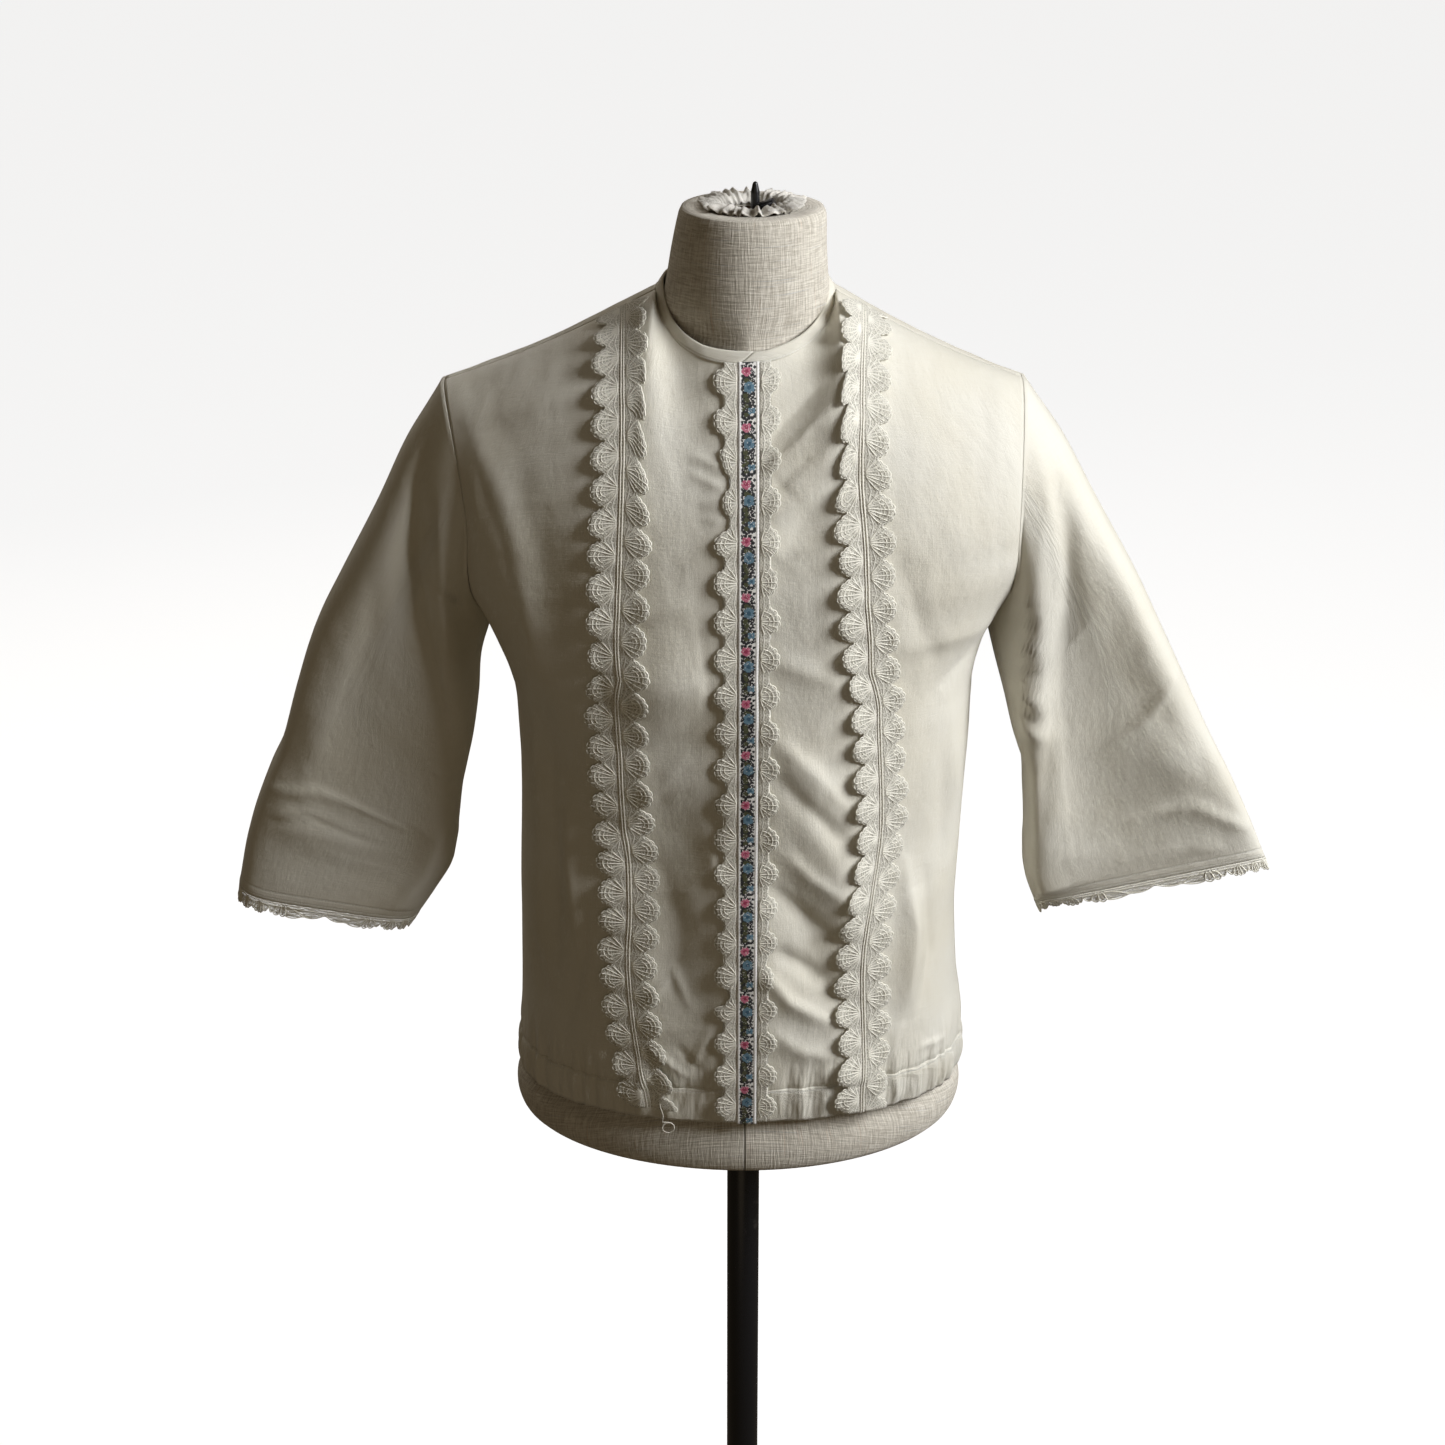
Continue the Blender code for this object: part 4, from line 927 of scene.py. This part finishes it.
def buildBack():
    steps, heights = spread(76), [vOf(784), vOf(790), vOf(796)] + spread(150)[:-1] + spread(52, 1.0, 2.0)
    folds = readyFolds(backFolds)
    left, right = (tucked(Cloth(side, "back", steps, heights, folds)) for side in (-1, 1))
    rows = [a[::-1] + b[1:] for a, b in zip(left, right)]
    for row in rows:  # smooth over the middle
        row[len(steps) - 1] = (row[len(steps) - 2] + row[len(steps)]) / 2
    finish = ivoryCotton("cottonBackCloth", (), 5.0, 44.0)
    piece = clothPiece("cottonBack", rows, finish, gridMap(rows), flip=True)
    dress(piece, "ivory_cotton", "back")
    min(areaOf(rows[3:]), 0.420 * 0.590)


# s runs from the armhole, 0, to the cuff, 1; "flat" is how flat the sleeve's section lies.
sleeves = {
    "rows": 170, "quarter": 28, "head": 3.0, "headEnds": 0.09, "join": 0.025,
    "folds": 1.35, "soft": (1.2, 30, 60), "fine": (0.4, 11, 22),
    "shared": {"s": (0, 0.12, 0.25, 0.4, 0.5, 0.6, 0.73, 0.8, 0.9, 1),
               "flat": (0.85, 0.76, 0.64, 0.52, 0.46, 0.42, 0.39, 0.38, 0.38, 0.40)},
    -1: {"outerX": (-199, -225, -248, -276, -294, -307, -322, -334, -348, -357),
         "outerZ": (1284, 1246, 1200, 1148, 1113, 1076, 1028, 1003, 966, 928),
         "innerX": (-173, -181, -184, -189, -194, -199, -203, -205, -216, -229),
         "innerZ": (1118, 1092, 1063, 1031, 1009, 987, 958, 943, 925, 906),
         "front": (58, 53, 49, 45, 43, 42, 42, 42, 43, 44), "back": (62, 55, 48, 42, 40, 38, 37, 36, 36, 36),
         "dip": (0, 0, 0, 0, 0, 1, 3, 4, 5, 6)},
    1: {"outerX": (182, 210, 236, 266, 284, 301, 323, 336, 354, 369),
        "outerZ": (1286, 1249, 1203, 1150, 1114, 1079, 1033, 1008, 970, 935),
        "innerX": (164, 171, 179, 187, 194, 196, 198, 198, 200, 208),
        "innerZ": (1118, 1091, 1063, 1032, 1011, 989, 961, 945, 922, 899),
        "front": (58, 51, 43, 36, 33, 30, 28, 26, 24, 22), "back": (62, 52, 43, 35, 31, 28, 26, 25, 24, 24),
        "dip": (0, 0, 0, 0, 0, -1, -2, -4, -6, -8)}}
sleeveFolds = {
    -1: [
        (((-212, 1235), (-222, 1140), (-206, 1045)), 13, -6.0, 1), (((-330, 985), (-262, 962)), 15, 4.0, 1),
        (((-262, 930), (-222, 968)), 12, -4.0, 1),
        (((-201, 1276), (-216, 1226), (-219, 1173), (-212, 1116), (-204, 1049)), 5, -4.2, 0.45),
        (((-200, 1235), (-202, 1180), (-203, 1132), (-200, 1068)), 5, 2.6, 1),
        (((-204, 1153), (-194, 1146), (-187, 1132)), 4, -2.6, 0.5),
        (((-333, 1002), (-293, 1003), (-259, 986)), 6, 2.6, 0.4),
        (((-327, 979), (-290, 982), (-255, 986)), 5, -2.4, 0.5), (((-278, 949), (-246, 973)), 5, 2.8, 0.4),
        (((-251, 905), (-225, 936), (-210, 968)), 8, 3.4, 0.45), (((-211, 1014), (-200, 1008)), 3, 1.2, 1),
        (((-211, 998), (-201, 994)), 3, 1.2, 1), (((-229, 1210), (-267, 1106), (-308, 994)), 16, 2.6, 0.7),
        (((-244, 1170), (-261, 1072), (-273, 983)), 12, -2.4, 0.8),
        (((-289, 937), (-311, 920)), 5, 1.5, 0.7), (((-300, 1060), (-318, 1010)), 10, -1.6, 1)],
    1: [
        (((192, 1225), (200, 1110), (206, 1030)), 10, 3.5, 0.9),
        (((208, 1215), (222, 1080), (238, 985)), 15, -6.5, 0.5),
        (((194, 1090), (200, 985), (214, 872)), 26, 8.5, 1),
        (((204, 1240), (256, 1150), (346, 968)), 20, 2.8, 1), (((262, 1060), (310, 1000)), 16, 3.5, 0.8),
        (((186, 1277), (207, 1175), (236, 998)), 6, 2.4, 0.6), (((175, 1137), (191, 1146)), 3.4, 1.7, 0.8),
        (((178, 1121), (196, 1128)), 3.4, -1.6, 0.8), (((178, 1112), (198, 1107)), 3.4, 1.7, 0.8),
        (((182, 1094), (200, 1088)), 4, -1.5, 0.8), (((182, 1076), (203, 1067)), 4.5, 2.0, 0.7),
        (((186, 1050), (206, 1039)), 4.5, 2.0, 0.7), (((184, 1063), (205, 1053)), 4, -1.7, 0.7),
        (((264, 1037), (281, 1065), (296, 1087)), 6, 2.2, 0.6),
        (((282, 990), (318, 983), (357, 963)), 5, 1.8, 0.6),
        (((198, 1115), (209, 1051), (207, 969)), 8, -2.6, 0.8),
        (((238, 1199), (276, 1100), (317, 1002)), 13, 1.8, 0.8), (((221, 956), (244, 933)), 5, 1.6, 0.7),
        (((305, 957), (335, 947)), 5, 1.3, 0.7)]}
sleeveBackFolds = {
    -1: [
        (((-214, 1220), (-240, 1120), (-262, 1020)), 14, 3.2, 0.7),
        (((-222, 1090), (-216, 980)), 9, -2.6, 0.7), (((-290, 1060), (-318, 960)), 12, 2.4, 0.7),
        (((-250, 990), (-214, 960)), 7, 2.2, 0.7)],
    1: [
        (((200, 1220), (236, 1110), (262, 1010)), 13, 3.0, 0.7), (((206, 1080), (212, 970)), 9, -2.2, 0.7),
        (((280, 1050), (326, 960)), 12, 2.2, 0.7), (((240, 980), (214, 950)), 7, 2.0, 0.7)]}


def armholeLoop(side, u=1.0):
    low = 9  # steps below the yoke
    steps = [vOf(z) for z in spread(low, blouse["underarm"], blouse["yoke"])[:-1]]
    steps += spread(sleeves["quarter"] - low, 1.0, 2.0)
    front = [torso(side, "front", u, v) for v in reversed(steps)]
    back = [torso(side, "back", u, v) for v in steps]
    return [(front[0] + back[-1]) / 2] + front[1:-1] + [(front[-1] + back[0]) / 2] + back[1:-1]


def sleeveRow(side, s):
    table = {**sleeves["shared"], **sleeves[side]}
    return {key: lookUp(table, key, s, "s") for key in table if key != "s"}


def onOval(values, turn):
    outer = Vector((values["outerX"], 0, values["outerZ"]))
    inner = Vector((values["innerX"], 0, values["innerZ"]))
    ways = (math.sin(turn), math.cos(turn))
    belly, across = (math.copysign(abs(way) ** values["flat"], way) for way in ways)
    point = (outer + inner) / 2 + (outer - inner) / 2 * across
    slim = 0.80 + 0.24 * values["flat"]  # a flat tube of the same girth is less deep
    point.y = -(values["front"] if belly > 0 else values["back"]) * belly * slim
    point.z -= values["dip"] * max(belly, 0)
    return point


def sleeveRows(side):
    loop, before = armholeLoop(side), armholeLoop(side, 0.95)
    top, bottom, half = loop[0].z, min(p.z for p in loop), len(loop) // 2
    turns = []
    for k, point in enumerate(loop):
        angle = math.acos(min(max((point.z - (top + bottom) / 2) / ((top - bottom) / 2), -1), 1))
        turns.append(angle if k <= half else 2 * math.pi - angle)
    even = [2 * math.pi * k / len(loop) for k in range(len(loop))]
    start = Vector((side * blouse["seam"], 0, -0.3 * blouse["seam"]))
    head = sleeveRow(side, 0)
    shifts = [corner + start - onOval(head, turn) for corner, turn in zip(loop, turns)]
    folds = {True: readyFolds(sleeveFolds[side]), False: readyFolds(sleeveBackFolds[side])}
    rows = []
    for s in [0, 0.006, 0.014] + spread(sleeves["rows"] - 4, sleeves["join"], 1.0):
        values, row = sleeveRow(side, s), []
        blend = ease(0, 0.6, s)
        for k, corner in enumerate(loop):
            turn = turns[k] * (1 - blend) + even[k] * blend
            point = onOval(values, turn) + shifts[k] * (1 - ease(0, 0.35, s))
            belly = math.sin(turn)
            hold = ease(0, 0.1, s) * (1 - ease(0.95, 1, s)) * min(1.0, abs(belly) * 1.6)
            own = 4 if belly > 0 else 8
            push = sleeves["folds"] * foldHeight(folds[belly > 0], point.x, point.z)
            push += unevenness(sleeves, point.x, point.z, side * 2 + own, side * 6 + own)
            point.y -= hold * push * (1 if belly > 0 else -1)
            # the head leaves the armhole in line with the panels, then bends down
            stretch = blouse["seam"] + (sleeves["head"] - blouse["seam"]) * min(s / sleeves["join"], 1.0)
            share = ease(1150, 1200, corner.z) * (1 - ease(sleeves["join"], sleeves["headEnds"], s))
            row.append(point.lerp(corner + (corner - before[k]).normalized() * stretch, share))
        rows.append(row)
    return rows


def buildSleeves():
    made = {}
    for side, name, node in bothSides("cottonSleeve", "sleeve"):
        rows = sleeveRows(side)
        made[side] = rows
        measured, last = gridMap(rows, True), len(rows) - 1

        def mapOf(i, j):  # along is measured from the cuff, where the stitch lines are
            return (measured(i, last)[0], measured(i, last)[1] - measured(i, j)[1])

        finish = ivoryCotton(name + "Cloth", (2.0, 7.2), side * 3.0 + 11)
        piece = clothPiece(name, rows, finish, mapOf, flip=side < 0, joined=True)
        dress(piece, "ivory_cotton", node)
        min(areaOf(rows, True), 0.385 * 0.405)
    return made


def girdle(t, v):
    quarter = 4 * t
    if quarter <= 1:
        return torso(-1, "front", quarter, v)
    if quarter <= 2:
        return torso(-1, "back", 2 - quarter, v)
    if quarter <= 3:
        return torso(1, "back", quarter - 2, v)
    return torso(1, "front", 4 - quarter, v)


def buildHem():
    columns, seam = hem["gathers"] * hem["perGather"], blouse["seam"]
    bottom, tall = blouse["hemBottom"], blouse["hemTop"] - blouse["hemBottom"]

    def pointAt(i, share):
        t, v = i / columns, vOf(bottom + tall * share)
        point = girdle(t, v)
        ahead = girdle(min(t + 0.002, 1), v) - girdle(max(t - 0.002, 0), v)
        away, calm = Vector((-ahead.y, ahead.x, 0)).normalized(), calmAt(point)
        wave = gatherWave(t) * calm
        depth = hem["above"] * hem["depth"]
        if wave > 0:
            depth = hem["depth"] * (0.62 + 0.45 * math.sin(math.pi * share) ** 0.7 + 0.2 * (1 - share))
        puff = math.sin(math.pi * share) + hem["crinkle"] * ripple(t * 150, v * 20, 6)
        puff -= hem["groove"] * (1 - ease(0, 0.12, 1 - share))
        point += away * (depth * wave + puff * calm)
        point.z += (1 - share) * (0.9 * wave + 0.8 * ripple(t * 40, 1.5)) * calmAt(point)
        if i in (0, columns):
            point.x = blouse["openingX"] + (-seam / 2 if i == 0 else seam / 2)
        return point

    rows = gridOf(hem["rows"], columns + 1, pointAt)
    finish = ivoryCotton("cottonHemCloth", (24.4,), 15.0, 90.0)
    piece = clothPiece("cottonHemCasing", rows, finish, gridMap(rows), flip=True)
    dress(piece, "ivory_cotton", "hem_casing")


band = {"height": 7.4, "wall": 1.3, "lean": 4.2, "slant": 9.0, "drop": 3.4, "out": 2.9,
        "rows": 8, "steps": 40, "lap": 12}


def buildNeckband():
    seam, lap = blouse["seam"], band["lap"]
    steps = [blouse["neckShare"] * k / band["steps"] for k in range(band["steps"] + 1)]
    there, back = steps[1:], steps[-2::-1]
    line = [topLine(-1, "front", u) for u in steps] + [topLine(-1, "back", u) for u in back]
    line += [topLine(1, "back", u) for u in there] + [topLine(1, "front", u) for u in back]
    last = len(line) - 1

    def pointAt(i, t):
        start = line[i]
        inward = Vector((-start.x, -start.y, 0)).normalized()
        swell = 0.55 * math.sin(math.pi * t) ** 0.6 + 0.25 * ripple(i * 0.22, t * 2, 6)
        point = start + inward * (band["lean"] * t - swell)
        ahead = max(-start.y / 60, 0)  # the band sits lower and further out at the front
        point.y -= band["out"] * ahead
        point.z += seam + band["height"] * t - band["drop"] * ahead
        if min(i, last - i) <= lap:  # its ends are lapped slantwise
            point.x += band["slant"] * t * (1 - ease(0, lap, min(i, last - i)))
        if i in (0, last):
            point.x += -seam / 2 if i == 0 else seam / 2
        return point

    rows = gridOf(band["rows"], last + 1, pointAt)
    finish = ivoryCotton("cottonNeckbandCloth", (1.1,), 19.0)
    piece = clothPiece("cottonNeckband", rows, finish, gridMap(rows), flip=True, wall=band["wall"])
    dress(piece, "ivory_cotton", "neckband")


buildFronts()
buildBack()
say("fronts and back")
sleeveGrids = buildSleeves()
buildHem()
buildNeckband()
say("sleeves, hem casing and neckband")

# Lace strips: x along z of each strip's middle, and its sizes across.
strip = {
    -1: {"z": (770, 805, 826, 860, 904, 950, 1014, 1078, 1165, 1247, 1300, 1350),
         "x": (-64, -67, -72, -77, -80, -78, -80, -81, -82, -79, -79, -80), "end": 11, "curl": 1.0},
    1: {"z": (770, 805, 833, 906, 952, 980, 1009, 1093, 1120, 1156, 1200, 1238, 1300, 1350),
        "x": (80, 80, 82, 80, 84, 88, 90, 86, 82, 78, 76, 73, 73, 78), "end": 4, "curl": 1.35},
    "half": 20.3, "notch": 12.4, "ruffle": 2.5, "scallops": 27, "perScallop": 14, "root": 10.4, "start": 2.6,
    "petals": 6, "across": 9}
centreLace = {
    -1: {"inner": -4.9, "notch": -14.6, "tip": -20.6,
         "tucks": ((1238, 24, 5.5), (886, 7, 6.0), (1040, 7, 2.5))},
    1: {"inner": 7.9, "notch": 15.0, "tip": 20.9, "tucks": ((1180, 8, 2.0), (905, 9, 2.5))},
    "scallops": 21, "perScallop": 14, "petals": 6, "radius": 9.4, "across": 7}
# Trims lie "lift" off the cotton. Their v ends at "top" or "end", and below the neckband at "below".
trims = {"lift": 0.8, "ribs": Vector((0, -0.5, 0)), "below": 1.88, "top": 1.98, "end": 1.985, "wall": 0.5,
         "frontWide": 230, "climb": 30, "overHem": 0.3}


def uAt(side, v, x):  # the u where the front's face stands at x
    low, high = 0.0, 1.0
    for _ in range(18):
        middle = (low + high) / 2
        short = side * torso(side, "front", middle, v).x < side * x
        low, high = (middle, high) if short else (low, middle)
    return (low + high) / 2


def laid(side, u, v, across, rise, top=trims["below"]):  # a point off the front, across along the cloth
    share, e = blouse["neckShare"], 0.01
    clear = ease(share, share + 0.1, u + side * across / trims["frontWide"])
    limit = top + (trims["end"] - top) * clear
    rise += (trims["top"] - top) * trims["climb"] * (1 - clear) * ease(1.7, 1.9, v)
    if v > 1.5:
        v = 1.5 + (v - 1.5) * (limit - 1.5) / 0.485
    mid = min(max(u, e), 1 - e)
    width = (torso(side, "front", mid + e, v) - torso(side, "front", mid - e, v)).length / (2 * e)
    point, normal = fronts[side].at(min(max(u + side * across / width, 0.0), 1.0), v)
    return point + normal * (trims["lift"] + rise)


def overHem(v):
    return (hem["depth"] + hem["lift"]) * (1 - ease(vOf(802), vOf(832), v))


def pathRows(side, scallops, centreX, low, high):  # (v, u) at even lengths along the front
    steps = 240
    points = []
    for k in range(steps + 1):
        v = low + (high - low) * k / steps
        points.append((v, uAt(side, v, centreX(torso(side, "front", 0.5, v).z))))
    lengths = [0.0]
    for (v0, u0), (v1, u1) in zip(points, points[1:]):
        lengths.append(lengths[-1] + (torso(side, "front", u1, v1) - torso(side, "front", u0, v0)).length)

    def at(s):
        want = lengths[-1] * min(max(s / scallops, 0.0), 1.0)
        k = max(n for n in range(steps) if lengths[n] <= want + 1e-9)
        t = (want - lengths[k]) / (lengths[k + 1] - lengths[k])
        return tuple(a + (b - a) * t for a, b in zip(points[k], points[k + 1]))

    return at, lengths[-1]


def fanReach(y, root, radius, notch):  # how far a scallop's edge stands out, y from its tip
    if abs(y) >= radius:
        return notch
    return max(notch, root + math.sqrt(radius * radius - y * y))


def fanLines(root, radius, petals, start):  # a shell: its edge of petals, then ribs, sides and arcs
    edge, inside = [], []
    steps, limit = petals * 4, math.radians(86)
    for k in range(steps + 1):
        angle = -limit + 2 * limit * k / steps
        bulge = radius * (0.94 + 0.10 * abs(math.sin(petals * math.pi * k / steps)))
        edge.append((root + bulge * math.cos(angle), bulge * math.sin(angle)))
    for k in range(petals - 1):
        angle = -limit + 2 * limit * (k + 1) / petals
        tip = (root + 0.92 * radius * math.cos(angle), 0.92 * radius * math.sin(angle))
        inside.append([(start + (tip[0] - start) * t, tip[1] * (0.16 + 0.84 * t**0.8))
                       for t in (0.06, 0.38, 0.7, 1.0)])
    side = radius * math.sin(limit) * 0.97
    for turn in (-1, 1):
        inside.append([(start + (root - start) * t, turn * side * t**0.62) for t in (0.05, 0.3, 0.65, 1.0)])
    for size in (0.42, 0.70):
        arc = [-limit + 2 * limit * k / 8 for k in range(9)]
        inside.append([(root + size * radius * math.cos(a) - 0.8, size * radius * math.sin(a)) for a in arc])
    return edge, inside


def netPiece(name, node, finish, count, perScallop, spanAt, shape):  # spanAt(s): a row's places across
    steps = spread(count * perScallop, 0, count)
    spans = [spanAt(s) for s in steps]
    rows = [[shape(x, s) for x in span] for s, span in zip(steps, spans)]
    net = clothPiece(name, rows, finish, lambda i, j: (spans[j][i], j / perScallop), wall=trims["wall"],
                     outwards=True)
    return dress(net, "ivory_lace", node), rows


def buildSideLaces(netFinish, threadFinish):
    for side, name, node in bothSides("ruffledLace", "side_lace"):
        path, count = strip[side], strip["scallops"]
        low = vOf(blouse["hemBottom"] + path["end"])
        at, length = pathRows(side, count, lambda z: lookUp(path, "x", z), low, trims["end"])
        pitch = length / count

        def shape(x, s):  # x across in millimetres (minus is the viewer's left), s along in scallops
            v, u = at(s)
            edge = -1 if x < 0 else 1
            out = min(abs(x) / strip["half"], 1.1)
            shift = 0 if edge < 0 else 0.5
            number = math.floor(s + shift)
            local = s + shift - number - 0.5
            wave = 0.5 - 0.5 * math.cos(math.pi * (s + shift))
            own = 0.5 + 0.9 * ripple(number * 0.83 + 0.3, edge * 3.7, side * 2.9)
            tilt = 1.6 * ripple(number * 1.27, edge * 5.1, side * 1.3) - 0.5 * edge * side
            ends = min(1.0, (count - s) * 4 / 6)
            ends *= 1.0 if edge < 0 else 0.5
            rise = out**1.5 * strip["ruffle"] * (0.22 + 0.42 * wave + 0.5 * own) * ends * path["curl"] ** 0.5
            rise += out * ends * (1.9 * (1 - (2 * local) ** 2) + 2.6 * tilt * local * out)
            pull = 1 - 0.10 * out * path["curl"] * max(0.0, ripple(s * 0.7, edge * 2.0, side * 4.4) + 0.25)
            return laid(side, u, v, x * pull, max(rise, 0.0) + overHem(v))

        half, radius = strip["across"], strip["half"] - strip["root"]

        def spanAt(s):
            span = []
            for i in range(-half, half + 1):
                y = ((s + (0 if i < 0 else 0.5)) % 1 - 0.5) * pitch
                span.append(fanReach(y, strip["root"], radius - 0.2, strip["notch"]) * i / half)
            return span

        net, rows = netPiece(name, node, netFinish, count, strip["perScallop"], spanAt, shape)
        lines, ribLines = [], []
        outline, ribs = fanLines(strip["root"], radius, strip["petals"], strip["start"])
        for edge in (-1, 1):
            around = []
            for k in range(-1, count + 1):
                tip = k + 0.5 if edge < 0 else k
                for x, y in outline:
                    if 0 <= tip + y / pitch <= count:
                        around.append(shape(edge * x, tip + y / pitch))
                if 0 < tip < count:
                    for rib in ribs:
                        ribLines.append([shape(edge * x, min(max(tip + y / pitch, 0), count)) + trims["ribs"]
                                         for x, y in rib])
            lines.append(around)
        seams = []
        for x in (-0.95, 0.95):  # the two rows of thread down the middle
            seams.append([shape(x + 0.25 * ripple(s * 2, x), s) + Vector((0, -0.55, 0))
                          for s in spread(count * 6, 0, count)])
        if side < 0:  # a thread has come loose at the hem
            start = shape(9.0, 0.4)
            hang = ((0, 0, 0), (0.5, -1.0, -6), (2.5, -1.5, -12), (2.0, -1.0, -18))
            loose = [start + Vector(step) for step in hang]
            for k in range(13):
                angle = math.pi * 0.5 - 2 * math.pi * k / 12
                curl = Vector((6.0 + 4.2 * math.cos(angle), -1.0, -22.5 + 4.2 * math.sin(angle)))
                loose.append(start + curl)
            ribLines.append(loose)
        cords = threads(name + "Ribs", lines, 0.54, threadFinish, ribLines)
        middle = threads(name + "Cord", seams, 0.60, threadFinish)
        areaOf(rows)


def buildCentreLaces(netFinish, threadFinish):
    for side, name, node in bothSides("centreLace", "centre_lace"):
        size, count, radius = centreLace[side], centreLace["scallops"], centreLace["radius"]
        low = vOf(blouse["hemBottom"] + 2)
        at, length = pathRows(side, count, lambda z: size["inner"], low, trims["top"])
        pitch = length / count
        inner, notch, tip = abs(size["inner"]), abs(size["notch"]), abs(size["tip"])
        root = tip - radius

        def shape(x, s):  # x across from the middle of the blouse, outwards
            v, _ = at(s)
            z = torso(side, "front", 0.1, v).z
            for place, half, amount in size["tucks"]:
                far = abs(z - place)
                if far < half * 1.25:
                    x -= amount * ease(half * 1.25, half * 0.75, far) * ease(inner, tip, x)
            number = math.floor(s)
            local = s - number - 0.5
            out = (x - inner) / (tip - inner)
            rise = 0.9 * (1 - (2 * local) ** 2) + 1.3 * max(0.0, ripple(number * 1.31, side * 2.0) + 0.4)
            rise = max(0.4 + out * (rise + 1.8 * local * ripple(number * 0.77, side * 7.0)), 0.3)
            rise = overHem(v) * trims["overHem"] + rise
            return laid(side, uAt(side, v, side * x), v, 0, rise, trims["top"])

        def spanAt(s):
            reach = fanReach((s % 1 - 0.5) * pitch, root, radius - 0.2, notch)
            return [(reach - inner) * i / across for i in range(across + 1)][::side]

        across = centreLace["across"]
        net, rows = netPiece(name, node, netFinish[side], count, centreLace["perScallop"], spanAt,
                             lambda x, s: shape(inner + x, s))
        outline, ribs = fanLines(root, radius, centreLace["petals"], inner + 1.0)
        ribLines, around = [], []
        for k in range(count):
            middle = k + 0.5
            around += [shape(max(x, notch), middle + y / pitch) for x, y in outline]
            for rib in ribs:
                ribLines.append([shape(max(x, inner), middle + y / pitch) + trims["ribs"] for x, y in rib])
        cords = threads(name + "Ribs", [around], 0.52, threadFinish, ribLines)
        min(areaOf(rows), (tip - inner) * length * mm * mm)


cuff = {"scallops": 20, "perScallop": 12, "notch": 5.2, "tip": 10.3, "loops": 5, "rows": 4}


def buildCuffLaces(netFinish, threadFinish):
    for side, name, node in bothSides("cuffLace", "cuff_lace"):
        last, before = sleeveGrids[side][-1], sleeveGrids[side][-4]
        around, count, loops, notch = len(last), cuff["scallops"], cuff["loops"], cuff["notch"]
        deep, centre = cuff["tip"] - notch, sum(last, Vector()) / around

        def shape(t, reach):  # t once round the cuff, reach below the sleeve's edge
            at = (t % 1.0) * around
            k, part = int(at) % around, at - int(at)
            edge = last[k].lerp(last[(k + 1) % around], part)
            down = (edge - before[k].lerp(before[(k + 1) % around], part)).normalized()
            inward = (centre - edge).normalized()
            flare = (1.8 * ripple(t * 23, side * 2) + 1.2 * ripple(t * 61, side * 5)) * reach / 10
            return edge + inward * (0.2 - flare) + down * (blouse["seam"] + reach)

        def pointAt(i, t):
            swell = abs(math.sin(math.pi * (i % cuff["perScallop"]) / cuff["perScallop"])) ** 0.6
            return shape(i / columns, (notch + (deep - 1.0) * swell) * (1 - t))

        columns = count * cuff["perScallop"]
        rows = gridOf(cuff["rows"], columns, pointAt)
        reachOf, top = gridMap(rows, True), cuff["rows"]
        net = clothPiece(name, rows, netFinish,
                         lambda i, j: (reachOf(i, top)[1] - reachOf(i, j)[1], i / cuff["perScallop"]),
                         flip=side > 0, joined=True, wall=trims["wall"])
        dress(net, "ivory_lace", node)
        lines, outline = [], []
        for k in range(count):
            for n in range(loops * 6):
                t = n / (loops * 6)
                reach = notch - 1.6 + deep * math.sin(math.pi * t) ** 0.6
                reach += 1.7 * abs(math.sin(math.pi * loops * t))
                outline.append(shape((k + t) / count, reach))
            for n in range(1, loops):
                t = n / loops
                ribs = ((0.35, 1.6), (0.75, 4.2), (1.0, notch - 1.2 + deep * math.sin(math.pi * t) ** 0.6))
                lines.append([shape((k + 0.5 + (t - 0.5) * wide) / count, reach) for wide, reach in ribs])
        lines.append(outline + [outline[0]])
        for reach in (0.6, 2.6):
            lines.append([shape(k / 160, reach) for k in range(161)])
        cords = threads(name + "Loops", lines, 0.52, threadFinish)
        girth = reachOf(columns, top)[0] * mm
        min(areaOf(rows, True), girth * 0.0105)


ribbonSize = {"left": -5.7, "right": 7.6, "columns": 12, "rows": 300}


def buildRibbon():
    at, _ = pathRows(1, 6, lambda z: 3.0, vOf(blouse["hemBottom"] + 0.5), trims["end"])
    rows, columns, count = [], ribbonSize["columns"], ribbonSize["rows"]
    for j in range(count + 1):
        v, _ = at(6 * j / count)
        row = []
        for share in spread(columns):
            x = ribbonSize["left"] + (ribbonSize["right"] - ribbonSize["left"]) * share
            rise = overHem(v) * trims["overHem"] + 0.25 * math.sin(math.pi * share)
            rise += 0.25 * ripple(v * 9, share * 2, 5)
            point = laid(1, uAt(1, v, x), v, 0, rise + 0.5, trims["top"])
            if share < 0.1:  # it laps over the opening here
                point.x = min(point.x, x)
            row.append(point)
        rows.append(row)
    measured = gridMap(rows)
    total, wide = measured(0, count)[1], braid["to"] - braid["from"]
    piece = clothPiece("floralRibbon", rows, wovenBraid("floralRibbonWeave"),
                       lambda i, j: (braid["from"] + wide * i / columns, total - measured(0, j)[1] - 1.8),
                       wall=0.7, outwards=True)
    dress(piece, "floral_ribbon", "ribbon")


laceCord = laceThread("laceThread")
buildSideLaces(laceNet("ruffledLaceNet", pitch=20.3, root=strip["start"], petals=10, shifted=True), laceCord)
centreNets = {}
for side, name, _ in bothSides("centreLaceNet", ""):
    centreNets[side] = laceNet(name, pitch=25.7, root=1.0, petals=9)
buildCentreLaces(centreNets, laceCord)
buildCuffLaces(laceNet("cuffLaceNet", pitch=16.0, root=2.5, petals=7, veil=0.18), laceCord)
buildRibbon()
say("lace and ribbon")
